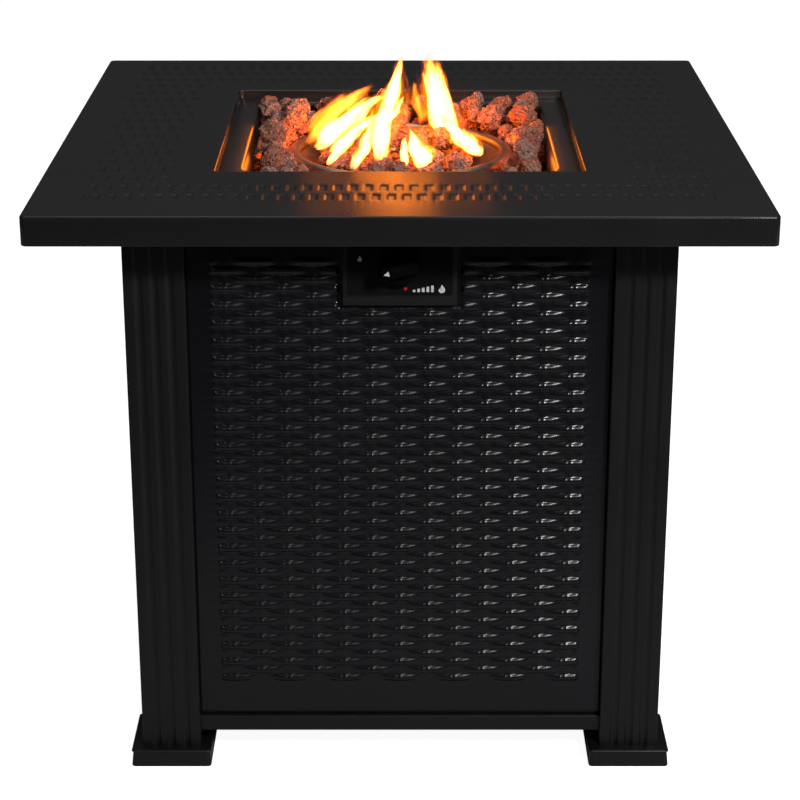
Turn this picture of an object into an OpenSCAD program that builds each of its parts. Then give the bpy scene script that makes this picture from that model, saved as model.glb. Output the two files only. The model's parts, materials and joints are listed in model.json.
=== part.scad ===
// Square propane fire pit table: a pressed steel top with a fire bowl, four fluted legs on plinth feet,
// panels with an embossed field, a rear access door for the gas tank, and the gas train inside.
// Millimetres, +Z up. The origin is on the floor under the middle of the table, and the front faces -Y.

/* [Table top] */
// Width and depth of the table top
table_w = 711; // [660:1:780]
// Height of the table top above the floor
table_h = 622; // [600:1:700]
// Thickness of the pressed sheet of the top
top_sheet = 1.2; // [1:0.1:2]
// Height of the turned-down rim
rim_h = 29; // [25:1:36]
// Corner radius of the top
top_corner_r = 6; // [3:0.5:12]
// Width of the square fire opening
opening_w = 372; // [364:1:400]
// Corner radius of the fire opening
opening_r = 5; // [3:0.5:10]
// Depth of the bowl's ledge below the table top
ledge_drop = 9.8; // [7:0.1:14]
// Width of the ledge that carries the bowl
ledge_w = 12; // [8:0.5:18]
// Diameter of the studs welded under the top
stud_d = 5; // [4:0.5:6]
// Length of the studs welded under the top
stud_len = 12; // [8:0.5:16]
// Distance of the studs from the middle of each side
stud_reach = 120; // [80:1:160]

/* [Legs and feet] */
// Width over the outer faces of the legs
frame_w = 544; // [528:1:580]
// Width of a leg
leg_w = 61; // [56:0.5:68]
// Wall of a leg
leg_wall = 1.5; // [1:0.1:2.5]
// Corner radius of a leg
leg_corner_r = 3; // [2.6:0.1:5]
// Distance between the flutes of a leg
flute_pitch = 15.5; // [14:0.1:17]
// Radius of a flute
flute_r = 6; // [4:0.1:7]
// Depth of a flute
flute_depth = 2; // [1:0.1:3]
// Thickness of the plate in the bottom of a leg
leg_base_t = 3; // [2:0.5:6]
// Width of a foot
foot_w = 84; // [76:0.5:92]
// Height of a foot
foot_h = 19; // [15:0.5:26]
// Wall of a foot
foot_wall = 2; // [1.5:0.1:3]
// Corner radius of a foot
foot_corner_r = 4; // [3.2:0.1:8]
// Diameter of the bolt between foot and leg
foot_bolt_d = 8; // [6:1:10]
// Height of the weld nut in the bottom of a leg
weld_nut_h = 8; // [6:0.5:12]
// Length of the foot bolt past its weld nut
bolt_past = 1; // [0.5:0.5:3]

/* [Rails and base] */
// Height of the bottom rails above the floor
rail_z = 34; // [28:1:60]
// Height of the bottom rails
rail_h = 17; // [13:0.5:26]
// Thickness of the rails
rail_t = 1.5; // [1:0.1:2.5]
// Setback of the bottom rails from the leg faces
rail_set = 6; // [3:0.5:9]
// Depth of the top flange of the bottom rails
rail_ledge = 34; // [31:0.5:44]
// Depth of the top rails
top_rail_depth = 20; // [16:0.5:30]
// Thickness of the base plate
base_t = 1.2; // [0.8:0.1:2]
// Gap between the base plate and the panels
base_gap = 2; // [1:0.5:4]
// Distance of the base plate screws from the middle of each side
base_screw_x = 140; // [100:1:190]
// Diameter of the middle vent hole of the base plate
vent_d = 64; // [40:1:70]
// Diameter of the corner vent holes of the base plate
corner_vent_d = 42; // [20:1:60]
// Inner diameter of the tank ring
tank_ring_d = 206; // [204:0.5:212]
// Wall of the tank ring
ring_t = 3; // [2:0.5:5]
// Height of the tank ring
ring_h = 30; // [20:1:45]

/* [Panels] */
// Setback of the panel faces from the leg faces
panel_set = 12; // [10:0.5:16]
// Thickness of the panel sheet
panel_t = 1; // [0.8:0.1:1.5]
// Depth of the panel trays
panel_depth = 14; // [12:0.5:18]
// Flat border at the sides of the embossed field
border_side = 23; // [18:0.5:34]
// Flat border above and below the embossed field
border_end = 38; // [28:0.5:60]
// Height of the embossed field above the border
field_raise = 2.5; // [1.5:0.1:3.5]
// Distance of the panel screws from the panel ends
panel_screw_in = 60; // [40:1:120]
// Diameter of the sheet screws
screw_d = 4; // [3:0.5:5]
// Length of the sheet screws past the sheets that they join
screw_reach = 4; // [2:0.5:8]

/* [Access door] */
// Gap round the door
door_gap = 2.5; // [2:0.1:4]
// Diameter of the pivot pins
pivot_d = 5; // [4:0.5:5]
// Distance of the pivot from the side edge of the door
pivot_in = 5; // [4.5:0.1:6]
// Lip of the pivot's head round its pin
pivot_head_lip = 0.4; // [0.3:0.1:0.8]
// Height of the pivot's head
pivot_head_h = 2; // [1:0.5:4]
// Lip of the pivot's collar round its pin
pivot_collar_lip = 1.5; // [1:0.1:2]
// Gap between the pivot's head and the sheet of the door
pivot_clear = 0.1; // [0.05:0.05:0.3]
// Length of the pivot pins past the rails
pivot_past = 2; // [1:0.5:4]
// Diameter of the door pull
pull_d = 18; // [12:0.5:22]
// Reach of the door pull
pull_len = 18; // [14:0.5:24]
// Length of the stud of the door pull
pull_stud = 8; // [6:0.5:12]
// Width of the catch and its strike plate
catch_w = 30; // [20:1:40]
// Height of the catch
catch_h = 14; // [10:0.5:20]
// Distance of the catch from the middle of the door
catch_x = 165; // [120:1:180]
// Depth of the catch
catch_depth = 16; // [10:0.5:24]
// Thickness of the strike plate
strike_t = 1.2; // [0.8:0.1:2]
// Height of the strike plate
strike_h = 16; // [12:0.5:24]

/* [Control] */
// Depth of the knob axis below the table top
knob_drop = 69; // [67:0.5:76]
// Diameter of the knob
knob_d = 41; // [36:0.5:46]
// Length of the knob
knob_len = 24; // [20:0.5:30]
// Thickness of the knob's skirt
skirt_t = 6; // [4:0.5:9]
// Width of the knob's grip
grip_w = 13; // [10:0.5:18]
// Thickness of the knob's front over the stem
knob_cap = 6; // [4:0.5:8]
// Travel of the knob when it is pushed
knob_push = 4; // [2:0.5:5]
// Gap behind the knob at rest
knob_gap = 7.2; // [6.8:0.1:10]
// Turn of the pointer from twelve o'clock, counterclockwise from the front
pointer_turn = 105; // [0:1:210]
// Width of the control box
box_w = 112; // [100:1:130]
// Depth of the control box's lower edge below the table top
box_drop = 115; // [105:1:130]
// Gap between the top of the control box and the level of the rim's lower edge
box_top_gap = 2; // [1:0.5:4]
// Depth of the control box
box_depth = 12; // [10:0.5:18]
// Sheet of the control box
box_t = 1; // [0.8:0.1:1.5]
// Height of the sloped strip under the control face
strip_h = 9.5; // [6:0.5:14]
// Setback of the sloped strip at its lower edge
strip_set = 4; // [2:0.5:7]
// Gap between the control box and the embossed field
box_gap = 4; // [2:0.5:8]

/* [Gas valve] */
// Diameter of the valve stem
stem_d = 8; // [7:0.5:8.5]
// Gap round the stem in the control face
stem_clear = 1; // [0.5:0.1:1.5]
// Diameter of the stem's tail in the plug
tail_d = 6; // [5:0.5:6.5]
// Length of the stem's tail in the plug
tail_in = 4; // [3:0.5:5]
// Room in the plug behind the pushed tail
tail_room = 2; // [1:0.5:3]
// Diameter of the stem's collar
stem_collar_d = 12; // [11.5:0.1:13]
// Thickness of the stem's collar
collar_t = 1.5; // [1:0.1:2]
// Diameter of the valve plug
plug_d = 14; // [13.5:0.5:18]
// Length of the valve plug
plug_len = 20; // [16:0.5:22]
// Length of the valve body behind the plug's bore
plug_seat = 8; // [6:0.5:9]
// Length of the valve bonnet
bonnet_len = 25; // [22:0.5:30]
// Diameter of the bonnet's neck
neck_d = 20; // [16:0.5:26]
// Thickness of the bonnet's flange
bonnet_flange = 3; // [2:0.5:5]
// Distance between the valve screws
valve_screw_gap = 28; // [27:0.5:32]
// Width and height of the valve body
valve_w = 34; // [30:0.5:38]
// Length of the valve body
valve_len = 40; // [38:0.5:48]
// Length of the outlet nipple
nipple_len = 12; // [10.5:0.5:16]
// Wall of the outlet nipple
nipple_wall = 3; // [2:0.5:3.5]
// Distance of the bosses for the leads from the knob axis, sideways
boss_x = 12; // [11.5:0.5:13]
// Distance of the bosses for the leads below the knob axis
boss_drop = 11; // [9:0.5:13]
// Length of the bosses for the leads
boss_len = 6; // [4:0.5:10]
// Outside diameter of the hose inlet
inlet_d = 15.9; // [13:0.1:18]
// Length of the hose inlet
inlet_len = 20; // [14:0.5:26]
// Diameter of the spring wire
wire_d = 1; // [0.8:0.1:1.2]
// Gap between the spring and the edge of the stem's collar
coil_inset = 0.6; // [0.4:0.1:0.8]
// Turns of the stem spring
spring_turns = 5; // [4:1:6]

/* [Gas train] */
// Diameter of the feed pipe
pipe_d = 10; // [8:0.5:11]
// Wall of the feed pipe
pipe_wall = 1; // [0.8:0.1:1.5]
// Free length of the feed pipe
pipe_free = 30; // [20:1:40]
// Width across the corners of the orifice's hexagon
orifice_d = 19; // [17:0.5:20]
// Length of the orifice's hexagon
orifice_len = 18; // [14:0.5:22]
// Diameter of the jet
jet_d = 1.6; // [1.2:0.1:2.5]
// Diameter of the mixer tube
mixer_d = 20; // [18:0.5:20.5]
// Wall of the mixer tube
mixer_wall = 2; // [1.5:0.1:2.5]
// Distance of the end of the mixer tube from the burner's axis
mixer_end = 24; // [20:1:28]
// Length of an air window of the mixer tube
window_len = 16; // [10:1:20]
// Distance of the middle of the air windows from the orifice's spigot
window_in = 14; // [12:0.5:20]
// Wall of the elbow
elbow_wall = 2.5; // [2:0.1:2.8]
// Depth of the sockets in the gas train
socket_depth = 8; // [6:0.5:10]
// Diameter of the burner stub
stub_d = 17.1; // [15:0.1:18]
// Wall of the burner stub
stub_wall = 2.4; // [1.8:0.1:3]
// Width across the corners of the lock nut
nut_d = 31; // [28:0.5:36]
// Height of the lock nut
nut_h = 7; // [5:0.5:7]
// Gap between the lock nut and the elbow
nut_gap = 0.8; // [0.4:0.1:0.9]

/* [Fire bowl] */
// Sheet of the fire bowl
bowl_t = 1.2; // [1:0.1:2]
// Gap between the bowl's flange and the opening
edge_gap = 2; // [1:0.5:4]
// Width of the bowl's flange
flange_w = 24; // [20:0.5:28]
// Depth of the bowl
bowl_depth = 38.4; // [36:0.2:40]
// Draft of the bowl's sides, each
bowl_draft = 3; // [1:0.5:4]
// Corner radius of the bowl at its mouth
bowl_r = 25; // [18:0.5:30]

/* [Burner] */
// Width of the channel for rocks between the burner dish and the bowl's side
channel_w = 34.5; // [32:0.5:42]
// Diameter of the flat floor of the dish
dish_floor_d = 144; // [136:1:150]
// Height of the burner dish
dish_h = 25; // [20:0.5:28]
// Sheet of the burner dish
dish_t = 1; // [0.8:0.1:1.5]
// Width of the rolled lip of the dish
lip_w = 15.5; // [12:0.5:18]
// Diameter of the burner head
head_d = 64; // [56:1:66]
// Height of the burner head
head_h = 13; // [11:0.5:16]
// Wall of the burner head
head_wall = 2; // [1.5:0.1:3]
// Number of flame ports
port_count = 24; // [12:1:30]
// Diameter of a flame port
port_d = 2.6; // [2:0.1:3.5]
// Distance of the sensors from the middle, sideways
sensor_x = 9; // [8.5:0.5:11]
// Distance of the sensors behind the burner head
sensor_back = 14; // [12:0.5:18]
// Height of the sensors above the burner head
sensor_over = 7; // [4:0.5:10]
// Gap round the sensors in the bowl and the dish
sensor_gap = 0.5; // [0.3:0.1:1]
// Lip of the sensors' collars
sensor_lip = 2; // [1:0.1:2.5]
// Height of the sensors' collars
sensor_collar_h = 3; // [2:0.5:5]
// Diameter of the igniter's ceramic
ceramic_d = 8; // [6:0.5:9]
// Depth of the igniter's ceramic below the knob axis
ceramic_low = 5; // [3:0.5:6]
// Diameter of the igniter's terminal
terminal_d = 3.2; // [3:0.1:4]
// Length of the igniter's terminal
terminal_len = 5; // [4:0.5:6]
// Diameter of the thermocouple
probe_d = 6; // [5:0.5:7]
// Depth of the thermocouple below the knob axis
probe_low = 1; // [0:0.5:4]
// Thickness of the sensor bracket
bracket_t = 1.5; // [1:0.1:2]
// Distance of the bracket's rivets from the middle, sideways
rivet_x = 16; // [14:0.5:20]
// Distance of the bracket's rivets behind the sensors
rivet_back = 11; // [10:0.5:13]
// Diameter of the bracket's rivets
rivet_d = 4; // [3:0.5:5]
// Diameter of a rivet's head
rivet_head_d = 7; // [6:0.5:8]
// Height of a rivet's head
rivet_head_h = 1.5; // [1:0.1:2.5]
// Diameter of the leads
lead_d = 3; // [2.4:0.1:3.4]

/* [Lava rocks] */
// Gap between neighbouring rocks
rock_gap = 1; // [0.6:0.1:2]
// Height of the tallest rocks round the dish
rock_h = 54; // [46:0.5:58]
// Height of the rocks on the floor of the dish
dish_rock_h = 24; // [20:0.5:28]
// Height of the rocks of the upper layer
upper_rock_h = 30; // [24:0.5:32]
// Radius of the rocks of the upper layer
upper_rock_r = 16; // [14:0.5:16.5]
// Radius of the rock on the burner head
crown_r = 20; // [18:0.5:22]

/* [Fits] */
// Radial clearance of a pin, screw or pipe in its bore
fit = 0.05; // [0.02:0.01:0.08]
// Running gap between faces that slide or turn
run_gap = 0.2; // [0.1:0.05:0.3]

/* [Hidden] */
$fn = 48;

// Paint and metal colours
coat = "#1e1e20";
coat_dark = "#151516";
steel = "#8d8f92";
brass = "#b08d4a";
ceramic_white = "#d9d2c0";
lead_red = "#5a1f1c";
lead_copper = "#a5673f";
rust_rock = "#6b3a2a";

// Margin that cutting shapes reach past the faces they cut
over = 1;
// Thickness of the slices that a hull joins
skin = 0.01;

// Levels of the top, the bowl and the rails
top_under = table_h - top_sheet;
rim_bottom = table_h - rim_h;
ledge_top = table_h - ledge_drop;
flange_top = ledge_top + bowl_t;
bowl_floor = flange_top - bowl_depth;
bowl_under = bowl_floor - bowl_t;
dish_floor = bowl_floor + dish_t;
head_top = dish_floor + head_h;
rail_top = rail_z + rail_h;
base_top = rail_top + base_t;
gas_z = table_h - knob_drop;

// Plan of the frame
leg_c = (frame_w - leg_w) / 2;
clear_half = frame_w / 2 - leg_w;
panel_y = frame_w / 2 - panel_set;
rail_y = frame_w / 2 - rail_set;
base_half = panel_y - panel_depth - base_gap;
stud_y = panel_y - top_rail_depth / 2;
panel_screw_y = panel_y - panel_depth / 2;
screw_zs = [rail_top + panel_screw_in, rim_bottom - panel_screw_in];
screw_head_d = 2 * screw_d;
screw_head_h = 0.6 * screw_d;
stud_nut_h = 0.8 * stud_d;
base_screw_y = (base_half + rail_y - rail_ledge) / 2;

// Door and its pivots, in the frame of the front side that is turned to the rear
door_half = clear_half - door_gap;
door_z0 = rail_top + door_gap;
door_z1 = rim_bottom - door_gap;
pivot_x = door_half - pivot_in;
pivot_head_d = pivot_d + 2 * pivot_head_lip;
pivot_collar_d = pivot_d + 2 * pivot_collar_lip;
pivot_y = panel_y - panel_t - pivot_clear - pivot_head_d / 2;
pull_x = door_half - border_side / 2;
pull_z = (door_z0 + door_z1) / 2;

// Stations of the gas train along Y, from the control face to the elbow
face_y = -(panel_y + box_depth);
box_bottom = table_h - box_drop;
box_top = rim_bottom - box_top_gap;
bonnet_y0 = face_y + box_t;
body_y0 = bonnet_y0 + bonnet_len;
body_y1 = body_y0 + valve_len;
plug_y1 = body_y1 - plug_seat - run_gap;
plug_y0 = plug_y1 - plug_len;
collar_y0 = body_y0 + run_gap;
collar_y1 = collar_y0 + collar_t;
tail_y1 = plug_y0 + tail_in;
nipple_y1 = body_y1 + nipple_len;
orifice_y0 = nipple_y1 + pipe_free;
orifice_y1 = orifice_y0 + orifice_len;
spigot_d = mixer_d - 2 * mixer_wall;
mixer_y1 = -mixer_end;
elbow_d = mixer_d + 2 * elbow_wall;
elbow_y0 = mixer_y1 - 1.5 * socket_depth;
elbow_top = bowl_under - nut_h - nut_gap;
stub_bottom = elbow_top - socket_depth;
stub_top = dish_floor + 0.6 * head_h;
knob_back = face_y - knob_gap;
knob_front = knob_back - knob_len;
stem_front = knob_front + knob_cap;
neck_hole_d = valve_screw_gap + 4 * screw_d;
inlet_bore = 0.5 * inlet_d;
inlet_y = (body_y0 + body_y1) / 2;
inlet_z0 = gas_z - valve_w / 2 - inlet_len;
boss_z = gas_z - boss_drop;

// Bowl and dish
flange_outer = opening_w - 2 * edge_gap;
mouth_w = flange_outer - 2 * flange_w;
bowl_floor_w = mouth_w - 2 * bowl_draft;
dish_d = bowl_floor_w - 2 * channel_w;

// Sensors behind the burner head
sensor_y = head_d / 2 + sensor_back;
rivet_y = sensor_y + rivet_back;
bracket_under = bowl_under - bracket_t;
ceramic_z0 = gas_z - ceramic_low;
probe_z0 = gas_z - probe_low;
sensor_top = head_top + sensor_over;

// Leads hang below the mixer tube between the sensors and the bosses of the valve
lead_low = gas_z - 26;
function lead_route(start, side) = [
    start,
    start + [0, 0, -7],
    [start.x + side * 4, start.y - 7, lead_low + 3],
    [start.x + side * 9, start.y - 40, lead_low],
    [side * (boss_x + 8), -60, lead_low],
    [side * (boss_x + 8), -120, lead_low],
    [side * (boss_x + 6), -160, lead_low + 4],
    [side * boss_x, body_y1 + boss_len + 14, boss_z - 3],
    [side * boss_x, body_y1 + boss_len + 6, boss_z],
    [side * boss_x, body_y1 + boss_len, boss_z]
];

// Rocks: radius and places in the channel round the dish, and in the dish round the burner head
channel_r = channel_w / 2 - rock_gap;
ring_half = bowl_floor_w / 2 - rock_gap - channel_r;
ring_steps = floor(2 * ring_half / (2 * channel_r + rock_gap));
ring_step = 2 * ring_half / ring_steps;
ring_side = [for (i = [0 : ring_steps - 1]) -ring_half + i * ring_step];
ring_places = [for (k = [0 : 3], s = ring_side) [s * cos(90 * k) + ring_half * sin(90 * k),
    s * sin(90 * k) - ring_half * cos(90 * k)]];
inner_corner = ring_half - ring_step;
floor_rock_r = (dish_floor_d - head_d) / 4 - rock_gap;
floor_ring_r = (dish_floor_d + head_d) / 4;
floor_turns = [for (a = [0 : 45 : 315]) if (a != 90) a];
upper_turns = [0, 55, 125, 180, 235, 305];
upper_ring_r = crown_r + upper_rock_r + 2 * rock_gap;
rock_sides = 7;
rock_levels = [0, 0.34, 0.68, 1];
rock_widths = [0.74, 1, 0.92, 0.68];
corner_rock = 0.84;
lowest_rock = 0.74;
height_seed = 7;
ring_seed = 100;
corner_seed = 200;
floor_seed = 300;
upper_seed = 400;
crown_seed = 500;

// Points and sweeps

function unit(v) = v / norm(v);
function spline_point(a, b, c, d, t) = 0.5 * (2 * b + (c - a) * t + (2 * a - 5 * b + 4 * c - d) * t * t
    + (3 * b - a - 3 * c + d) * t * t * t);
function smooth(p, steps) = let (last = len(p) - 1) [
    for (i = [0 : last - 1], k = [0 : steps - 1])
        spline_point(p[max(i - 1, 0)], p[i], p[i + 1], p[min(i + 2, last)], k / steps),
    p[last]
];
function tangent(p, i) = unit(p[min(i + 1, len(p) - 1)] - p[max(i - 1, 0)]);
function ring(p, i, r, sides, side_axis) = let (
    t = tangent(p, i),
    a = unit(cross(t, side_axis)),
    b = cross(t, a)
) [for (k = [0 : sides - 1]) p[i] + r * (a * cos(360 * k / sides) + b * sin(360 * k / sides))];
function band_faces(rings, sides) = [
    for (i = [0 : rings - 2], k = [0 : sides - 1], half = [0, 1])
        let (a = i * sides + k, b = i * sides + (k + 1) % sides)
        half == 0 ? [a, b, b + sides] : [a, b + sides, a + sides]
];
function cap_faces(rings, sides) = [
    [for (k = [sides - 1 : -1 : 0]) k],
    [for (k = [0 : sides - 1]) (rings - 1) * sides + k]
];

// Round tube swept along a list of points
module swept_tube(path, d, sides, side_axis) {
    points = [for (i = [0 : len(path) - 1]) each ring(path, i, d / 2, sides, side_axis)];
    faces = concat(band_faces(len(path), sides), cap_faces(len(path), sides));
    polyhedron(points, [for (f = faces) [for (k = [len(f) - 1 : -1 : 0]) f[k]]]);
}

// Rough stone with a flat base and a flat crown, inside a cylinder of radius r
module rock(r, h, seed) {
    levels = len(rock_levels);
    jitter = rands(0, 1, 2 * levels * rock_sides, seed);
    points = [
        for (i = [0 : levels - 1], k = [0 : rock_sides - 1])
            let (
                j = i * rock_sides + k,
                turn = 360 * (k + 0.5 * i + 0.3 * jitter[j]) / rock_sides,
                reach = r * rock_widths[i] * (0.8 + 0.2 * jitter[levels * rock_sides + j])
            )
            [reach * cos(turn), reach * sin(turn), h * rock_levels[i]]
    ];
    faces = concat(band_faces(levels, rock_sides), cap_faces(levels, rock_sides));
    polyhedron(points, [for (f = faces) [for (k = [len(f) - 1 : -1 : 0]) f[k]]]);
}

// Shared shapes

module rounded_square(w, r) {
    square([w, w - 2 * r], center = true);
    square([w - 2 * r, w], center = true);
    for (x = [-1, 1], y = [-1, 1]) translate([x * (w / 2 - r), y * (w / 2 - r)]) circle(r);
}

module rod_x(d, x0, x1) {
    translate([x0, 0, 0]) rotate([0, 90, 0]) cylinder(d = d, h = x1 - x0);
}

module rod_y(d, y0, y1) {
    translate([0, y0, 0]) rotate([-90, 0, 0]) cylinder(d = d, h = y1 - y0);
}

module rod_z(d, z0, z1) {
    translate([0, 0, z0]) cylinder(d = d, h = z1 - z0);
}

// Turns a shape of the front side to side k: front, right, rear, left
module on_side(k) {
    rotate([0, 0, 90 * k]) children();
}

// Puts a shape of the front left corner in the corner that is mirrored in x, in y or in both
module in_corner(x, y) {
    mirror([x, 0, 0]) mirror([0, y, 0]) children();
}

module at_each_corner() {
    for (x = [0, 1], y = [0, 1]) in_corner(x, y) translate([-leg_c, -leg_c, 0]) children();
}

// Table top

module stud_places() {
    for (k = [0 : 3], x = [-1, 1]) on_side(k) translate([x * stud_reach, -stud_y, 0]) children();
}

module table_top() {
    color(coat) {
        difference() {
            translate([0, 0, rim_bottom]) linear_extrude(rim_h) rounded_square(table_w, top_corner_r);
            translate([0, 0, rim_bottom - over]) linear_extrude(rim_h - top_sheet + over)
                rounded_square(table_w - 2 * top_sheet, top_corner_r - top_sheet);
            translate([0, 0, rim_bottom]) linear_extrude(rim_h + over) rounded_square(opening_w, opening_r);
        }
        difference() {
            translate([0, 0, ledge_top - top_sheet]) linear_extrude(ledge_drop + top_sheet)
                rounded_square(opening_w + 2 * top_sheet, opening_r + top_sheet);
            translate([0, 0, ledge_top]) linear_extrude(ledge_drop + over)
                rounded_square(opening_w, opening_r);
            translate([0, 0, ledge_top - top_sheet - over]) linear_extrude(top_sheet + 2 * over)
                rounded_square(opening_w - 2 * ledge_w, bowl_r + flange_w - ledge_w);
        }
        stud_places() rod_z(stud_d, top_under - stud_len, top_under);
    }
}

module top_nuts() {
    color(steel) stud_places() difference() {
        translate([0, 0, top_under - rail_t - stud_nut_h])
            cylinder(d = 1.85 * stud_d, h = stud_nut_h, $fn = 6);
        rod_z(stud_d + 2 * fit, top_under - stud_len - over, top_under);
    }
}

// Legs and feet

module leg_outline(inset) {
    difference() {
        rounded_square(leg_w - 2 * inset, leg_corner_r - inset);
        for (i = [-1 : 1], turn = [0, 90]) rotate(-turn)
            translate([i * flute_pitch, flute_depth - flute_r - leg_w / 2]) circle(flute_r + inset);
    }
}

module leg(x, y) {
    color(coat) in_corner(x, y) difference() {
        translate([-leg_c, -leg_c, foot_h]) {
            linear_extrude(top_under - foot_h) difference() {
                leg_outline(0);
                leg_outline(leg_wall);
            }
            linear_extrude(leg_base_t) leg_outline(0.5 * leg_wall);
            cylinder(d = 1.8 * foot_bolt_d, h = leg_base_t + weld_nut_h);
        }
        translate([-leg_c, -leg_c, 0])
            rod_z(foot_bolt_d + 2 * fit, foot_h - over, foot_h + leg_base_t + weld_nut_h + over);
        for (z = screw_zs) {
            translate([0, -panel_screw_y, z])
                rod_x(screw_d + 2 * fit, -clear_half - leg_wall - over, -clear_half + over);
            translate([-panel_screw_y, 0, z])
                rod_y(screw_d + 2 * fit, -clear_half - leg_wall - over, -clear_half + over);
        }
    }
}

module foot(x, y) {
    color(coat) in_corner(x, y) translate([-leg_c, -leg_c, 0]) difference() {
        linear_extrude(foot_h) rounded_square(foot_w, foot_corner_r);
        translate([0, 0, -over]) linear_extrude(foot_h - foot_wall + over)
            rounded_square(foot_w - 2 * foot_wall, foot_corner_r - foot_wall);
        rod_z(foot_bolt_d + 2 * fit, 0, foot_h + over);
    }
}

module foot_bolts() {
    head_bottom = foot_h - foot_wall - 0.65 * foot_bolt_d;
    color(steel) at_each_corner() {
        translate([0, 0, head_bottom]) cylinder(d = 1.9 * foot_bolt_d, h = 0.65 * foot_bolt_d, $fn = 6);
        rod_z(foot_bolt_d, foot_h - foot_wall, foot_h + leg_base_t + weld_nut_h + bolt_past);
    }
}

// Rails and base

module bar(outline) {
    rotate([90, 0, 90]) linear_extrude(2 * clear_half, center = true) polygon(outline);
}

// Places of the base plate screws along one side
module base_screw_places(k) {
    on_side(k) for (x = [-1, 1]) translate([x * base_screw_x, -base_screw_y, 0]) children();
}

module bottom_rail(k) {
    color(coat) difference() {
        on_side(k) bar([
            [-rail_y, rail_z], [-rail_y + rail_t, rail_z], [-rail_y + rail_t, rail_top - rail_t],
            [-rail_y + rail_ledge, rail_top - rail_t], [-rail_y + rail_ledge, rail_top], [-rail_y, rail_top]
        ]);
        base_screw_places(k) rod_z(screw_d + 2 * fit, rail_top - rail_t - over, rail_top + over);
        if (k == 2) at_pivot() rod_z(pivot_d + 2 * fit, rail_top - rail_t - over, rail_top + over);
    }
}

module top_rail(k) {
    inner = -panel_y + top_rail_depth;
    color(coat) difference() {
        on_side(k) bar([
            [-panel_y, rim_bottom], [inner, rim_bottom], [inner, rim_bottom + rail_t],
            [-panel_y + rail_t, rim_bottom + rail_t], [-panel_y + rail_t, top_under - rail_t],
            [inner, top_under - rail_t], [inner, top_under], [-panel_y, top_under]
        ]);
        stud_places() rod_z(stud_d + 2 * fit, top_under - rail_t - over, top_under + over);
        if (k == 2) at_pivot() rod_z(pivot_d + 2 * fit, rim_bottom - over, rim_bottom + rail_t + over);
    }
}

module base_plate() {
    corner_vent = clear_half - corner_vent_d;
    notch = base_half - clear_half + fit;
    notch_c = base_half - notch / 2;
    color(coat) difference() {
        translate([0, 0, rail_top]) linear_extrude(base_t) difference() {
            square(2 * base_half, center = true);
            circle(d = vent_d);
            for (x = [-1, 1], y = [-1, 1]) {
                translate([x * notch_c, y * notch_c]) square(notch, center = true);
                translate([x * corner_vent, y * corner_vent]) circle(d = corner_vent_d);
            }
        }
        for (k = [0 : 3]) base_screw_places(k) rod_z(screw_d + 2 * fit, rail_top - over, base_top + over);
    }
}

module base_screws() {
    color(steel) for (k = [0 : 3]) base_screw_places(k) {
        rod_z(screw_head_d, base_top, base_top + screw_head_h);
        rod_z(screw_d, rail_top - rail_t - screw_reach, base_top);
    }
}

module tank_ring() {
    color(coat) difference() {
        rod_z(tank_ring_d + 2 * ring_t, base_top, base_top + ring_h);
        rod_z(tank_ring_d, base_top - over, base_top + ring_h + over);
    }
}

// Panels

// Outline of the embossed field, drawn in by inset; a front field leaves room for the control box
module field_outline(half, z0, z1, inset, front) {
    difference() {
        translate([-half + border_side + inset, z0 + border_end + inset])
            square([2 * (half - border_side - inset), z1 - z0 - 2 * (border_end + inset)]);
        if (front) translate([-box_w / 2 - box_gap - inset, box_bottom - box_gap - inset])
            square([box_w + 2 * (box_gap + inset), z1 - box_bottom]);
    }
}

module panel_tray(half, z0, z1, front = false) {
    difference() {
        union() {
            translate([-half, -panel_y, z0]) cube([2 * half, panel_depth, z1 - z0]);
            translate([0, -panel_y + panel_t, 0]) rotate([90, 0, 0]) linear_extrude(field_raise + panel_t)
                field_outline(half, z0, z1, 0, front);
        }
        translate([panel_t - half, -panel_y + panel_t, z0 + panel_t])
            cube([2 * (half - panel_t), panel_depth, z1 - z0 - 2 * panel_t]);
        translate([0, -panel_y + panel_t + over, 0]) rotate([90, 0, 0]) linear_extrude(field_raise + over)
            field_outline(half, z0, z1, panel_t, front);
    }
}

module panel_screw_places() {
    for (x = [-1, 1], z = screw_zs) translate([x * clear_half, -panel_screw_y, z]) rotate([0, 90 - 90 * x, 0])
        children();
}

module fixed_panel(k) {
    color(coat_dark) on_side(k) difference() {
        panel_tray(clear_half, rail_top, rim_bottom, k == 0);
        panel_screw_places() rod_x(screw_d + 2 * fit, -panel_t - over, over);
        if (k == 0) translate([0, 0, gas_z]) rod_y(neck_hole_d, -panel_y - over, -panel_y + panel_t + over);
    }
}

module panel_screws() {
    color(steel) for (k = [0, 1, 3]) on_side(k) panel_screw_places() {
        rod_x(screw_head_d, -panel_t - screw_head_h, -panel_t);
        rod_x(screw_d, -panel_t, leg_wall + screw_reach);
    }
}

// Access door

module at_pivot() {
    on_side(2) translate([pivot_x, -pivot_y, 0]) children();
}

module access_door() {
    color(coat_dark) difference() {
        on_side(2) panel_tray(door_half, door_z0, door_z1);
        at_pivot() rod_z(pivot_d + 2 * fit, door_z0 - over, door_z0 + panel_t + over);
        at_pivot() rod_z(pivot_d + 2 * fit, door_z1 - panel_t - over, door_z1 + over);
        on_side(2) translate([-pull_x, 0, pull_z])
            rod_y(screw_d + 2 * fit, -panel_y - over, -panel_y + panel_t + over);
    }
}

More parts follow.
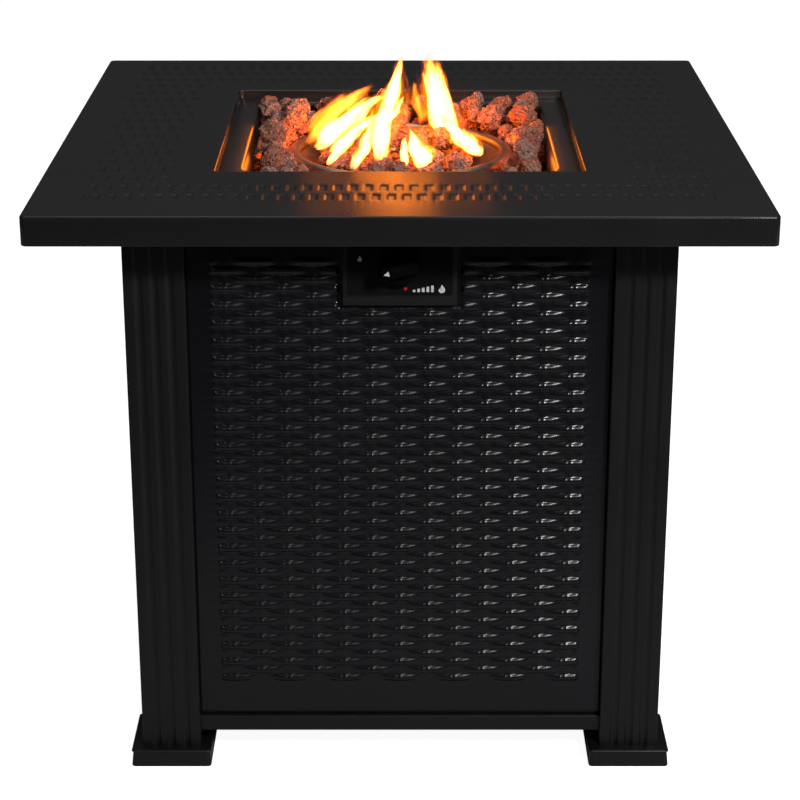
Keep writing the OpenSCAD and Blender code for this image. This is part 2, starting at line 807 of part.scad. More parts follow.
module door_pivots() {
    color(steel) at_pivot() {
        rod_z(pivot_d, rail_top - rail_t - pivot_past, door_z0 + panel_t);
        rod_z(pivot_collar_d, rail_top + run_gap, door_z0);
        rod_z(pivot_head_d, door_z0 + panel_t, door_z0 + panel_t + pivot_head_h);
        rod_z(pivot_d, door_z1 - panel_t, rim_bottom + rail_t + pivot_past);
        rod_z(pivot_collar_d, door_z1, rim_bottom - run_gap);
        rod_z(pivot_head_d, door_z1 - panel_t - pivot_head_h, door_z1 - panel_t);
    }
}

module door_pull() {
    color(coat_dark) on_side(2) translate([-pull_x, -panel_y, pull_z]) rotate([90, 0, 0]) {
        rotate_extrude() polygon([
            [0, 0], [pull_d / 3, 0], [pull_d / 4, pull_len / 3], [pull_d / 2, pull_len * 0.6],
            [pull_d / 2, pull_len * 0.85], [pull_d / 2.6, pull_len], [0, pull_len]
        ]);
        translate([0, 0, -pull_stud]) cylinder(d = screw_d, h = pull_stud);
    }
}

module pull_nut() {
    nut_t = 0.8 * screw_d;
    color(steel) on_side(2) translate([-pull_x, -panel_y + panel_t, pull_z]) rotate([-90, 0, 0])
        difference() {
            cylinder(d = 1.85 * screw_d, h = nut_t, $fn = 6);
            rod_z(screw_d + 2 * fit, -over, nut_t + over);
        }
}

module catch_strike() {
    color(steel) on_side(2) translate([-catch_x - catch_w / 2, panel_depth - panel_y, door_z0])
        cube([catch_w, strike_t, strike_h]);
}

module door_catch() {
    front = panel_depth - panel_y + strike_t + 2 * run_gap;
    color(coat_dark) on_side(2) translate([-catch_x - catch_w / 2, front, base_top])
        cube([catch_w, catch_depth, catch_h]);
}

// Control box and knob

function box_outline(inset) = [
    [-panel_y + (inset > 0 ? over : 0), box_bottom + inset],
    [face_y + strip_set + inset, box_bottom + inset],
    [face_y + inset, box_bottom + strip_h],
    [face_y + inset, box_top - inset],
    [-panel_y + (inset > 0 ? over : 0), box_top - inset]
];

module valve_screw_places() {
    for (x = [-1, 1]) translate([x * valve_screw_gap / 2, 0, gas_z]) children();
}

module control_box() {
    color(coat_dark) difference() {
        rotate([90, 0, 90]) linear_extrude(box_w, center = true) polygon(box_outline(0));
        rotate([90, 0, 90]) linear_extrude(box_w - 2 * box_t, center = true) polygon(box_outline(box_t));
        translate([0, 0, gas_z]) rod_y(stem_d + 2 * stem_clear, face_y - over, bonnet_y0 + over);
        valve_screw_places() rod_y(screw_d + 2 * fit, face_y - over, bonnet_y0 + over);
    }
}

module control_knob() {
    color(coat_dark) translate([0, 0, gas_z]) rotate([0, -pointer_turn, 0]) difference() {
        union() {
            rod_y(knob_d, knob_back - skirt_t, knob_back);
            intersection() {
                rod_y(knob_d, knob_front, knob_back - skirt_t);
                translate([-grip_w / 2, knob_front, -knob_d]) cube([grip_w, knob_len, 2 * knob_d]);
            }
        }
        rod_y(stem_d + 2 * fit, stem_front, knob_back + over);
    }
}

// Gas valve

module valve_stem() {
    color(steel) translate([0, 0, gas_z]) {
        rod_y(stem_d, stem_front, collar_y0);
        rod_y(stem_collar_d, collar_y0, collar_y1);
        rod_y(tail_d, collar_y1, tail_y1);
    }
}

module stem_spring() {
    coil_r = (stem_collar_d - wire_d) / 2 - coil_inset;
    y0 = collar_y1 + wire_d / 2 + fit;
    y1 = plug_y0 - wire_d / 2 - fit;
    rings = 12 * spring_turns;
    path = [for (i = [0 : rings]) [coil_r * cos(30 * i), y0 + (y1 - y0) * i / rings, coil_r * sin(30 * i)]];
    color(steel) translate([0, 0, gas_z]) swept_tube(path, wire_d, 6, [0, 1, 0]);
}

module valve_plug() {
    color(brass) translate([0, 0, gas_z]) difference() {
        rod_y(plug_d, plug_y0, plug_y1);
        rod_y(tail_d + 2 * fit, plug_y0 - over, tail_y1 + knob_push + tail_room);
    }
}

module valve_bonnet() {
    color(brass) difference() {
        translate([0, 0, gas_z]) {
            rod_y(neck_d, bonnet_y0, body_y0);
            translate([-valve_screw_gap / 2 - 1.5 * screw_d, bonnet_y0, -2 * screw_d])
                cube([valve_screw_gap + 3 * screw_d, bonnet_flange, 4 * screw_d]);
        }
        translate([0, 0, gas_z]) rod_y(stem_d + 2 * fit, bonnet_y0 - over, body_y0 + over);
        valve_screw_places() rod_y(screw_d + 2 * fit, bonnet_y0 - over, bonnet_y0 + bonnet_flange + over);
    }
}

module valve_body() {
    color(brass) difference() {
        union() {
            translate([-valve_w / 2, body_y0, gas_z - valve_w / 2]) cube([valve_w, valve_len, valve_w]);
            translate([0, 0, gas_z]) rod_y(pipe_d + 2 * nipple_wall, body_y1, nipple_y1);
            translate([0, inlet_y, 0]) rod_z(inlet_d, inlet_z0, gas_z);
            for (x = [-1, 1]) translate([x * boss_x, 0, boss_z])
                rod_y(2 * lead_d, body_y1, body_y1 + boss_len);
        }
        translate([0, 0, gas_z]) {
            rod_y(plug_d + 2 * fit, body_y0 - over, body_y1 - plug_seat);
            rod_y(pipe_d / 2, body_y1 - plug_seat - over, nipple_y1);
            rod_y(pipe_d + 2 * fit, nipple_y1 - socket_depth, nipple_y1 + over);
        }
        translate([0, inlet_y, 0]) rod_z(inlet_bore, inlet_z0 - over, gas_z);
    }
}

module valve_screws() {
    color(steel) valve_screw_places() {
        rod_y(1.75 * screw_d, face_y - 0.55 * screw_d, face_y);
        rod_y(screw_d, face_y, bonnet_y0 + bonnet_flange + screw_reach);
    }
}

// Gas train

module feed_pipe() {
    color(steel) translate([0, 0, gas_z]) difference() {
        rod_y(pipe_d, nipple_y1 - socket_depth, orifice_y0 + socket_depth);
        rod_y(pipe_d - 2 * pipe_wall, nipple_y1 - socket_depth - over, orifice_y0 + socket_depth + over);
    }
}

module orifice() {
    color(brass) translate([0, 0, gas_z]) difference() {
        union() {
            translate([0, orifice_y0, 0]) rotate([-90, 0, 0])
                cylinder(d = orifice_d, h = orifice_len, $fn = 6);
            rod_y(spigot_d, orifice_y1, orifice_y1 + socket_depth);
        }
        rod_y(pipe_d + 2 * fit, orifice_y0 - over, orifice_y0 + socket_depth);
        rod_y(jet_d, orifice_y0, orifice_y1 + socket_depth + over);
    }
}

module mixer_tube() {
    window = [0.4 * mixer_d, window_len, 2 * mixer_d];
    color(steel) translate([0, 0, gas_z]) difference() {
        rod_y(mixer_d, orifice_y1, mixer_y1);
        rod_y(spigot_d + 2 * fit, orifice_y1 - over, mixer_y1 + over);
        for (turn = [0, 90]) translate([0, orifice_y1 + socket_depth + window_in, 0]) rotate([0, turn, 0])
            cube(window, center = true);
    }
}

module burner_elbow() {
    color(steel) difference() {
        union() {
            translate([0, 0, gas_z]) rod_y(elbow_d, elbow_y0, 0);
            translate([0, 0, gas_z]) sphere(d = elbow_d);
            rod_z(elbow_d, gas_z, elbow_top);
        }
        translate([0, 0, gas_z]) rod_y(mixer_d + 2 * fit, elbow_y0 - over, mixer_y1);
        translate([0, 0, gas_z]) rod_y(stub_d - 2 * stub_wall, mixer_y1 - over, 0);
        rod_z(stub_d - 2 * stub_wall, gas_z, elbow_top);
        rod_z(stub_d + 2 * fit, stub_bottom, elbow_top + over);
    }
}

module burner_stub() {
    color(steel) difference() {
        rod_z(stub_d, stub_bottom, stub_top);
        rod_z(stub_d - 2 * stub_wall, stub_bottom - over, stub_top + over);
    }
}

module lock_nut() {
    color(steel) difference() {
        translate([0, 0, bowl_under - nut_h]) cylinder(d = nut_d, h = nut_h, $fn = 6);
        rod_z(stub_d + 2 * fit, bowl_under - nut_h - over, bowl_under + over);
    }
}

// Fire bowl and burner

// Holes of the burner stub, the sensors and the rivets, from z0 to z1
module burner_holes(z0, z1) {
    rod_z(stub_d + 4 * fit, z0, z1);
    translate([-sensor_x, sensor_y, 0]) rod_z(ceramic_d + 2 * sensor_gap, z0, z1);
    translate([sensor_x, sensor_y, 0]) rod_z(probe_d + 2 * sensor_gap, z0, z1);
    for (x = [-1, 1]) translate([x * rivet_x, rivet_y, 0]) rod_z(rivet_d + 2 * fit, z0, z1);
}

// Drafted square body of the bowl, grown by wall, from its floor to z1
module bowl_body(wall, floor_z, z1) {
    hull() {
        translate([0, 0, floor_z]) linear_extrude(skin)
            rounded_square(bowl_floor_w + 2 * wall, bowl_r - bowl_draft + wall, $fn = 32);
        translate([0, 0, z1 - skin]) linear_extrude(skin)
            rounded_square(mouth_w + 2 * wall, bowl_r + wall, $fn = 32);
    }
}

module fire_bowl() {
    color(coat_dark) difference() {
        union() {
            translate([0, 0, ledge_top]) linear_extrude(bowl_t) rounded_square(flange_outer, opening_r);
            bowl_body(bowl_t, bowl_under, flange_top);
        }
        bowl_body(0, bowl_floor, flange_top + 2 * skin);
        burner_holes(bowl_under - over, bowl_floor + over);
    }
}

module burner_dish() {
    lip_r = lip_w / 2;
    lip_c = dish_d / 2 - lip_r;
    lip_z = dish_h - lip_r;
    outer = [for (a = [180 : -15 : 0]) [lip_c + lip_r * cos(a), lip_z + lip_r * sin(a)]];
    inner = [for (a = [0 : 15 : 180]) [lip_c + (lip_r - dish_t) * cos(a), lip_z + (lip_r - dish_t) * sin(a)]];
    color(steel) difference() {
        translate([0, 0, bowl_floor]) rotate_extrude($fn = 96) polygon(concat(
            [[0, 0], [0, dish_t], [dish_floor_d / 2, dish_t]], outer, inner, [[dish_floor_d / 2 + dish_t, 0]]
        ));
        burner_holes(bowl_floor - over, dish_floor + over);
    }
}

module burner_head() {
    color(steel) translate([0, 0, dish_floor]) difference() {
        rotate_extrude() polygon([
            [stub_d / 2 + fit, 0], [head_d / 2, 0], [head_d / 2, head_h], [0, head_h],
            [0, head_h - head_wall], [head_d / 2 - head_wall, head_h - head_wall],
            [head_d / 2 - head_wall, head_wall], [stub_d / 2 + fit, head_wall]
        ]);
        for (i = [0 : port_count - 1]) rotate([0, 0, 360 * (i + 0.5) / port_count])
            translate([0, 0, head_h / 2]) rod_x(port_d, head_d / 2 - head_wall - over, head_d / 2 + over);
    }
}

module sensor_bracket() {
    color(steel) difference() {
        translate([-rivet_x - rivet_head_d, sensor_y - ceramic_d, bracket_under])
            cube([2 * (rivet_x + rivet_head_d), rivet_y - sensor_y + ceramic_d + rivet_head_d, bracket_t]);
        translate([-sensor_x, sensor_y, 0])
            rod_z(ceramic_d + 2 * fit, bracket_under - over, bowl_under + over);
        translate([sensor_x, sensor_y, 0])
            rod_z(probe_d + 2 * fit, bracket_under - over, bowl_under + over);
        for (x = [-1, 1]) translate([x * rivet_x, rivet_y, 0])
            rod_z(rivet_d + 2 * fit, bracket_under - over, bowl_under + over);
    }
}

module bracket_rivets() {
    color(steel) for (x = [-1, 1]) translate([x * rivet_x, rivet_y, 0]) {
        rod_z(rivet_head_d, bracket_under - rivet_head_h, bracket_under);
        rod_z(rivet_d, bracket_under, dish_floor);
        rod_z(rivet_head_d, dish_floor, dish_floor + rivet_head_h);
    }
}

module igniter_electrode() {
    color(ceramic_white) translate([-sensor_x, sensor_y, 0]) {
        rod_z(terminal_d, ceramic_z0 - terminal_len, ceramic_z0);
        rod_z(ceramic_d, ceramic_z0, head_top);
        rod_z(ceramic_d + 2 * sensor_lip, bracket_under - sensor_collar_h, bracket_under);
        rod_z(0.3 * ceramic_d, head_top, sensor_top);
    }
}

module thermocouple() {
    color(steel) translate([sensor_x, sensor_y, 0]) {
        rod_z(probe_d, probe_z0, sensor_top);
        rod_z(probe_d + 2 * sensor_lip, bracket_under - sensor_collar_h, bracket_under);
    }
}

module igniter_lead() {
    start = [-sensor_x, sensor_y, ceramic_z0 - terminal_len];
    color(lead_red) swept_tube(smooth(lead_route(start, -1), 4), lead_d, 8, [1, 0, 0]);
}

module thermocouple_lead() {
    start = [sensor_x, sensor_y, probe_z0];
    color(lead_copper) swept_tube(smooth(lead_route(start, 1), 4), lead_d, 8, [1, 0, 0]);
}

// Lava rocks

module bowl_rocks() {
    heights = rands(lowest_rock, 1, len(ring_places) + 4, height_seed);
    color(rust_rock) translate([0, 0, bowl_floor]) {
        for (i = [0 : len(ring_places) - 1]) translate(ring_places[i])
            rock((i % ring_steps == 0 ? corner_rock : 1) * channel_r, rock_h * heights[i], ring_seed + i);
        if (norm([inner_corner, inner_corner]) - channel_r > dish_d / 2 + rock_gap)
            for (k = [0 : 3]) rotate([0, 0, 90 * k]) translate([inner_corner, inner_corner, 0])
                rock(channel_r, rock_h * heights[len(ring_places) + k], corner_seed + k);
    }
}

module dish_rocks() {
    color(rust_rock) {
        translate([0, 0, dish_floor]) for (a = floor_turns)
            translate(floor_ring_r * [cos(a), sin(a)]) rock(floor_rock_r, dish_rock_h, floor_seed + a);
        translate([0, 0, dish_floor + dish_rock_h + run_gap]) for (a = upper_turns)
            translate(upper_ring_r * [cos(a), sin(a)]) rock(upper_rock_r, upper_rock_h, upper_seed + a);
        translate([0, 0, head_top]) rock(crown_r, dish_rock_h + upper_rock_h - head_h, crown_seed);
    }
}

table_top();
top_nuts();
leg(0, 0);  // leg_front_left
leg(1, 0);  // leg_front_right
leg(0, 1);  // leg_rear_left
leg(1, 1);  // leg_rear_right
foot(0, 0);  // foot_front_left
foot(1, 0);  // foot_front_right
foot(0, 1);  // foot_rear_left
foot(1, 1);  // foot_rear_right
foot_bolts();
bottom_rail(0);  // bottom_rail_front
bottom_rail(1);  // bottom_rail_right
bottom_rail(2);  // bottom_rail_rear
bottom_rail(3);  // bottom_rail_left
top_rail(0);  // top_rail_front
top_rail(1);  // top_rail_right
top_rail(2);  // top_rail_rear
top_rail(3);  // top_rail_left
base_plate();
base_screws();
tank_ring();
fixed_panel(0);  // front_panel
fixed_panel(1);  // right_panel
fixed_panel(3);  // left_panel
panel_screws();
access_door();
door_pivots();
door_pull();
pull_nut();
catch_strike();
door_catch();
control_box();
control_knob();
valve_stem();
stem_spring();
valve_plug();
valve_bonnet();
valve_body();
valve_screws();
feed_pipe();
orifice();
mixer_tube();
burner_elbow();
burner_stub();
lock_nut();
fire_bowl();
burner_dish();
burner_head();
sensor_bracket();
bracket_rivets();
igniter_electrode();
thermocouple();
igniter_lead();
thermocouple_lead();
bowl_rocks();
dish_rocks();
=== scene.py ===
"""Looks of a square gas fire pit table: satin coats, woven relief, lava rock, flames and a plain studio."""

import json
import math
from functools import cache

import bmesh
import bpy
import numpy as np
from bpy.props import FloatProperty, FloatVectorProperty, IntProperty, PointerProperty
from mathutils import Matrix, Vector


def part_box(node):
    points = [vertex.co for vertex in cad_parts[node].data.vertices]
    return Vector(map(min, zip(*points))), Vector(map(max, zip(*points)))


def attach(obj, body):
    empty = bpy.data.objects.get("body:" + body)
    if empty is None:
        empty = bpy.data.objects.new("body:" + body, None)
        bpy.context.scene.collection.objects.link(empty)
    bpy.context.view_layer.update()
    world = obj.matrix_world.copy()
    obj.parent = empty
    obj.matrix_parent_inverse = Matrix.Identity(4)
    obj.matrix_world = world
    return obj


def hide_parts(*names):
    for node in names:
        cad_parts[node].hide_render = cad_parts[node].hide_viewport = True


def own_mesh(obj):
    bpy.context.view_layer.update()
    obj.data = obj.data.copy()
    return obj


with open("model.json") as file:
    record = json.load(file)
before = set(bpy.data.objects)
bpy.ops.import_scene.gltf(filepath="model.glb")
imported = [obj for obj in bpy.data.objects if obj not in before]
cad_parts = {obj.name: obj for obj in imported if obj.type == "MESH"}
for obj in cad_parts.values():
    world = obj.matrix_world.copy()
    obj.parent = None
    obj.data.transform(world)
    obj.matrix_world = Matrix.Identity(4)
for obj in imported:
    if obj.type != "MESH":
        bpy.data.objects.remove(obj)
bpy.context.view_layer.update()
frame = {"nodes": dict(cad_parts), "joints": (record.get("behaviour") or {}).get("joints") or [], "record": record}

bl_info = {
    "name": "Square fire pit table",
    "version": (1, 0, 0),
    "blender": (4, 5, 0),
    "location": "3D View > Sidebar > Fire table",
    "description": "Builds the looks of a square gas fire pit table round its packed model",
    "category": "Object",
}

SLOT_OF = {part["node"]: part["material_slot"] for part in frame["record"]["subparts"]}
JOINTS = {joint["name"]: joint for joint in frame["joints"]}
TURN_AXIS = JOINTS["knob_turn"]["pos_m"]
CORNERS = {"front_left": (-1, -1), "front_right": (1, -1), "rear_left": (-1, 1), "rear_right": (1, 1)}
SIDES = ("front", "right", "rear", "left")
FIXED_PANELS = {"front_panel": 0, "right_panel": 1, "left_panel": 3}
BLACK = (0.0, 0.0, 0.0, 1.0)
WHITE = (1.0, 1.0, 1.0, 1.0)

# Radius of the burner dish's flat floor
DISH_FLOOR = 0.072

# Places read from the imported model
TOP_LOW, TOP_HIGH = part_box("table_top")
BOWL_LOW, BOWL_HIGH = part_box("fire_bowl")
DISH_LOW, DISH_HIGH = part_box("burner_dish")
FRONT_LOW, FRONT_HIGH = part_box("front_panel")
DOOR_LOW, DOOR_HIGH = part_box("access_door")
BOX_LOW, BOX_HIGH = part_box("control_box")
KNOB_LOW, KNOB_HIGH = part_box("control_knob")
PULL_LOW, PULL_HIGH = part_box("door_pull")


def length(default, text):
    """Length property in metres."""
    return FloatProperty(name=text, default=default, min=0.0, unit="LENGTH", precision=5)


def shade(default, text):
    """Colour property, linear."""
    return FloatVectorProperty(name=text, default=default, size=3, subtype="COLOR", min=0.0, max=1.0)


def power(default, text):
    """Power of a light."""
    return FloatProperty(name=text, default=default, min=0.0, unit="POWER")


def whole(default, text):
    """Whole number property."""
    return IntProperty(name=text, default=default, min=0)


class WeaveSizes(bpy.types.PropertyGroup):
    """Pressed weave of the panels and of the table top."""

    panel_stake: length(0.0288, "Gap between the stakes of a panel")
    panel_strand: length(0.00932, "Height of one strand of a panel")
    panel_relief: length(0.0034, "Depth of the weave of a panel")
    panel_base: length(0.0004, "Height of the grooves above the panel border")
    side_border: length(0.023, "Flat border at the sides of a panel")
    end_border: length(0.038, "Flat border at the ends of a panel")
    notch_gap: length(0.004, "Flat border round the control box")
    top_stake: length(0.0347, "Gap between the crossing lines of the top weave")
    top_strand: length(0.0075, "Width of one strand of the top weave")
    top_relief: length(0.0010, "Depth of the top weave")
    top_shift: length(0.007, "Shift of the crossing lines to the front")
    band_inner: length(0.228, "Half width of the plain square inside the weave band")
    band_outer: length(0.308, "Half width of the weave band")


class SheetSizes(bpy.types.PropertyGroup):
    """Rounded edges of the pressed sheets."""

    top_roll: length(0.0018, "Radius of the table top's outer edge")
    top_corner: length(0.006, "Radius of the table top's corners seen from above")
    sheet: length(0.0012, "Thickness of the table top")
    opening: length(0.372, "Width of the fire opening")
    opening_corner: length(0.005, "Radius of the fire opening's corners")
    opening_roll: length(0.002, "Radius of the fire opening's upper edge")
    ledge_drop: length(0.0098, "Depth of the bowl's ledge below the table top")
    ledge: length(0.012, "Width of the bowl's ledge")
    panel_roll: length(0.0015, "Radius of a panel's outer edge")
    panel_sheet: length(0.001, "Thickness of a panel")
    panel_depth: length(0.014, "Depth of a panel's turned-back edges")
    flute_pitch: length(0.0155, "Distance between the flutes of a leg")
    flute_radius: length(0.006, "Radius of a flute")
    flute_depth: length(0.002, "Depth of a flute")
    bar_round: length(0.0009, "Radius of the edges of legs and rails")
    mouth: length(0.320, "Width of the bowl inside its flange")


class CoatColours(bpy.types.PropertyGroup):
    """Colours of the coats, the plastics and the print."""

    top: shade((0.0105, 0.0105, 0.0107), "Table top")
    frame: shade((0.0020, 0.0020, 0.0031), "Legs, feet and rails")
    panel: shade((0.0036, 0.0036, 0.0052), "Panels and door")
    control: shade((0.0034, 0.0032, 0.0035), "Control box")
    plate: shade((0.0026, 0.0026, 0.0026), "Inset plate of the control box")
    knob: shade((0.0022, 0.0021, 0.0019), "Knob and door pull")
    bowl: shade((0.0200, 0.0165, 0.0145), "Fire bowl")
    dust: shade((0.0450, 0.0440, 0.0430), "Dust and rub marks on the coats")
    white: shade((0.80, 0.80, 0.78), "White marks and pointer")
    red: shade((0.55, 0.012, 0.012), "Red dot on the control plate")
    lead: shade((0.30, 0.020, 0.015), "Sleeve of the igniter's lead")


class FireSettings(bpy.types.PropertyGroup):
    """Lava rock and flames."""

    bowl_stones: whole(150, "Stones round the dish")
    dish_stones: whole(46, "Stones in the dish")
    seed: whole(7, "Seed of the stones' places and shapes")
    stone_small: length(0.0080, "Radius of the smallest stone")
    stone_large: length(0.0150, "Radius of the largest stone")
    bowl_top: length(0.634, "Highest point of the stones round the dish")
    front_top: length(0.600, "Highest point of the stones in front of the dish")
    side_top: length(0.608, "Highest point of the stones beside the dish's front half")
    dish_top: length(0.607, "Highest point of the stones in the dish")
    rust: shade((0.330, 0.112, 0.064), "Red-brown lava rock")
    ash: shade((0.285, 0.162, 0.130), "Grey-brown lava rock")
    # Lighter colour on the ridges between the pores of the lava rock
    crest: shade((0.58, 0.44, 0.37), "Lighter ridges between the pores of the lava rock")
    core: shade((1.0, 0.28, 0.045), "Hottest part of a flame")
    body: shade((0.85, 0.160, 0.008), "Middle of a flame")
    ember: shade((0.060, 0.0140, 0.0008), "Tip of a flame")
    rim: shade((0.38, 0.044, 0.002), "Edge of a flame")
    mirrored: shade((0.40, 0.085, 0.0040), "Flames as a light and in reflections")
    glow: shade((1.0, 0.22, 0.012), "Light of the fire")
    glow_power: power(0.78, "Power of each of the fire's lights")
    wall_power: power(0.075, "Power of each light on a wall beside the fire")
    sheen_power: power(0.13, "Power of each light that shines in glossy coats")


class StudioSettings(bpy.types.PropertyGroup):
    """Camera, floor and lights."""

    distance: length(2.3623, "Distance of the camera in front of the table's middle")
    height: length(1.185, "Height of the camera above the floor")
    tilt: FloatProperty(name="Angle of the camera below level", default=math.radians(20.36), subtype="ANGLE")
    lens: FloatProperty(name="Focal length in millimetres", default=100.458, min=1.0)
    floor: shade((0.92, 0.92, 0.92), "Plain pale floor")
    key_power: power(48.0, "Soft light at the front right")
    fill_power: power(5.0, "Soft light at the front left")
    top_power: power(11.5, "Soft light above the table")
    back_power: power(0.3, "Wide soft light behind the table")


class FireTableSettings(bpy.types.PropertyGroup):
    """All that a user would change."""

    weave: PointerProperty(type=WeaveSizes)
    sheets: PointerProperty(type=SheetSizes)
    coats: PointerProperty(type=CoatColours)
    fire: PointerProperty(type=FireSettings)
    studio: PointerProperty(type=StudioSettings)


def settings():
    """This scene's settings."""
    return bpy.context.scene.fire_table


def panel_face():
    """Distance of the panels' borders from the table's middle."""
    return settings().sheets.panel_depth - FRONT_HIGH.y


# Node trees

class Signal:
    """Output of a node. Sums with it add the math nodes that they need."""

    def __init__(self, tree, socket):
        self.tree = tree
        self.socket = socket

    def math(self, operation, *others):
        """Math node with this value first."""
        return self.tree.math(operation, self, *others)

    def __add__(self, other):
        return self.math("ADD", other)

    def __sub__(self, other):
        return self.math("SUBTRACT", other)

    def __rsub__(self, other):
        return self.tree.math("SUBTRACT", other, self)

    def __mul__(self, other):
        return self.math("MULTIPLY", other)

    def __truediv__(self, other):
        return self.math("DIVIDE", other)


class Tree:
    """Short calls that add and link the nodes of one tree."""

    def __init__(self, tree):
        self.tree = tree

    def fill(self, node, inputs):
        """Links or sets a node's inputs, which are named or numbered."""
        for key, value in inputs.items():
            if isinstance(value, Signal):
                self.tree.links.new(value.socket, node.inputs[key])
            else:
                node.inputs[key].default_value = value

    def add(self, kind, inputs=None, **traits):
        """New node with its traits and inputs."""
        node = self.tree.nodes.new(kind)
        for key, value in traits.items():
            setattr(node, key, value)
        self.fill(node, inputs or {})
        return node

    def value(self, kind, inputs=None, output=0, **traits):
        """One output of a new node."""
        return Signal(self, self.add(kind, inputs, **traits).outputs[output])

    def outputs(self, kind, inputs=None, **traits):
        """All outputs of a new node."""
        return [Signal(self, socket) for socket in self.add(kind, inputs, **traits).outputs]

    def math(self, operation, *values):
        """Math on numbers, or on vectors where a vector is given."""
        signals = [value for value in values if isinstance(value, Signal)]
        vector = any(signal.socket.type == "VECTOR" for signal in signals)
        output = "Value" if operation in ("DOT_PRODUCT", "LENGTH") else 0
        kind = "ShaderNodeVectorMath" if vector else "ShaderNodeMath"
        return self.value(kind, dict(enumerate(values)), output, operation=operation)

    def scaled(self, vector, factor):
        """Vector times a number."""
        return self.value("ShaderNodeVectorMath", {0: vector, "Scale": factor}, operation="SCALE")

    def where(self):
        """Place in the object's own frame."""
        return self.value("ShaderNodeTexCoord", output="Object")

    def attribute(self, label, output="Fac"):
        """Attribute of the mesh in a material."""
        return self.value("ShaderNodeAttribute", output=output, attribute_name=label)

    def column(self, label, kind="FLOAT"):
        """Attribute of the mesh in a geometry tree."""
        return self.value("GeometryNodeInputNamedAttribute", {"Name": label}, data_type=kind)

    def camera_ray(self):
        """One where the camera looks, and zero for light and reflections."""
        return self.value("ShaderNodeLightPath", output="Is Camera Ray")

    def mix(self, factor, first, second):
        """Blend of two colours."""
        return self.value("ShaderNodeMix", {0: factor, 6: first, 7: second}, 2, data_type="RGBA")

    def noise(self, where, scale, detail=2.0, roughness=0.5):
        """Noise value from 0 to 1."""
        return self.value("ShaderNodeTexNoise", {"Vector": where, "Scale": scale, "Detail": detail,
                                                 "Roughness": roughness})

    def cells(self, where, scale, output="Distance"):
        """Cells round scattered points."""
        return self.value("ShaderNodeTexVoronoi", {"Vector": where, "Scale": scale}, output)

    def ranged(self, value, low, high, least=0.0):
        """Smooth step of a value, from its least up to 1."""
        return self.value("ShaderNodeMapRange", {0: value, 1: low, 2: high, 3: least, 4: 1.0},
                          interpolation_type="SMOOTHSTEP")

    def ramp(self, value, stops):
        """Colour ramp with (place, colour) stops."""
        node = self.add("ShaderNodeValToRGB", {0: value})
        elements = node.color_ramp.elements
        while len(elements) < len(stops):
            elements.new(1.0)
        for element, (place, colour) in zip(elements, stops):
            element.position = place
            element.color = rgba(colour)
        return Signal(self, node.outputs[0])

    def bump(self, height, strength, distance):
        """Normal of a bumpy surface."""
        return self.value("ShaderNodeBump", {"Height": height, "Strength": strength, "Distance": distance})

    def give(self, outputs):
        """Ends a group with its outputs and hands the group over."""
        self.add("NodeGroupOutput", outputs)
        return self.tree

    def show(self, geometry, material):
        """Ends a geometry group with a material on its mesh."""
        done = self.value("GeometryNodeSetMaterial", {"Geometry": geometry, "Material": material})
        return self.give({"Geometry": done})


def rgba(colour):
    """Colour with full alpha."""
    return (colour[0], colour[1], colour[2], 1.0)


def socket_kind(value):
    """Kind of socket that holds a value; a text is a kind itself."""
    if isinstance(value, str):
        return "NodeSocket" + value
    if isinstance(value, tuple):
        return "NodeSocketVector" if len(value) == 3 else "NodeSocketColor"
    return "NodeSocketInt" if isinstance(value, int) else "NodeSocketFloat"


def new_group(name, kind, inputs, outputs):
    """Tree of a new node group with its sockets, and its inputs by name."""
    group = bpy.data.node_groups.new(name, kind)
    for label, value in inputs.items():
        item = group.interface.new_socket(label, in_out="INPUT", socket_type=socket_kind(value))
        if not isinstance(value, str):
            item.default_value = value
    for label, value in outputs.items():
        group.interface.new_socket(label, in_out="OUTPUT", socket_type=socket_kind(value))
    tree = Tree(group)
    return tree, {signal.socket.name: signal for signal in tree.outputs("NodeGroupInput")}


SURFACE_OUTPUTS = {"Colour": "Color", "Roughness": "Float", "Height": "Float"}
MESH_OUTPUT = {"Geometry": "Geometry"}


@cache
def coat_grain():
    """Powder coat: fine orange peel, cloudy gloss and a breath of dust."""
    tree, given = new_group("coat_grain", "ShaderNodeTree", {
        "Colour": (0.01, 0.01, 0.01, 1.0), "Dust": (0.05, 0.05, 0.05, 1.0), "Dust Share": 0.06,
        "Roughness": 0.4, "Peel Scale": 900.0}, SURFACE_OUTPUTS)
    where = tree.where()
    peel = tree.noise(where, given["Peel Scale"], 1.0)
    cloud = tree.noise(where, 11.0, 4.0, 0.6)
    speck = tree.ranged(tree.noise(where, 420.0, 0.0), 0.66, 0.78)
    colour = tree.mix((cloud + speck) * given["Dust Share"], given["Colour"], given["Dust"])
    rough = given["Roughness"] + (cloud * 0.16 - 0.08) + (peel * 0.10 - 0.05)
    return tree.give({"Colour": colour, "Roughness": rough, "Height": peel})


@cache
def metal_wear():
    """Bare metal: turned or drawn lines, stains and scratches."""
    tree, given = new_group("metal_wear", "ShaderNodeTree", {
        "Colour": (0.6, 0.6, 0.6, 1.0), "Stain": (0.2, 0.17, 0.14, 1.0), "Stain Share": 0.4,
        "Roughness": 0.35, "Line Scale": 600.0}, SURFACE_OUTPUTS)
    where = tree.where()
    lines = tree.noise(where * (0.08, 1.0, 1.0), given["Line Scale"])
    stained = tree.ranged(tree.noise(where, 60.0, 5.0, 0.65), 0.42, 0.72) * given["Stain Share"]
    colour = tree.mix(stained, given["Colour"], given["Stain"])
    rough = given["Roughness"] + (lines * 0.22 - 0.10)
    return tree.give({"Colour": colour, "Roughness": rough, "Height": lines})


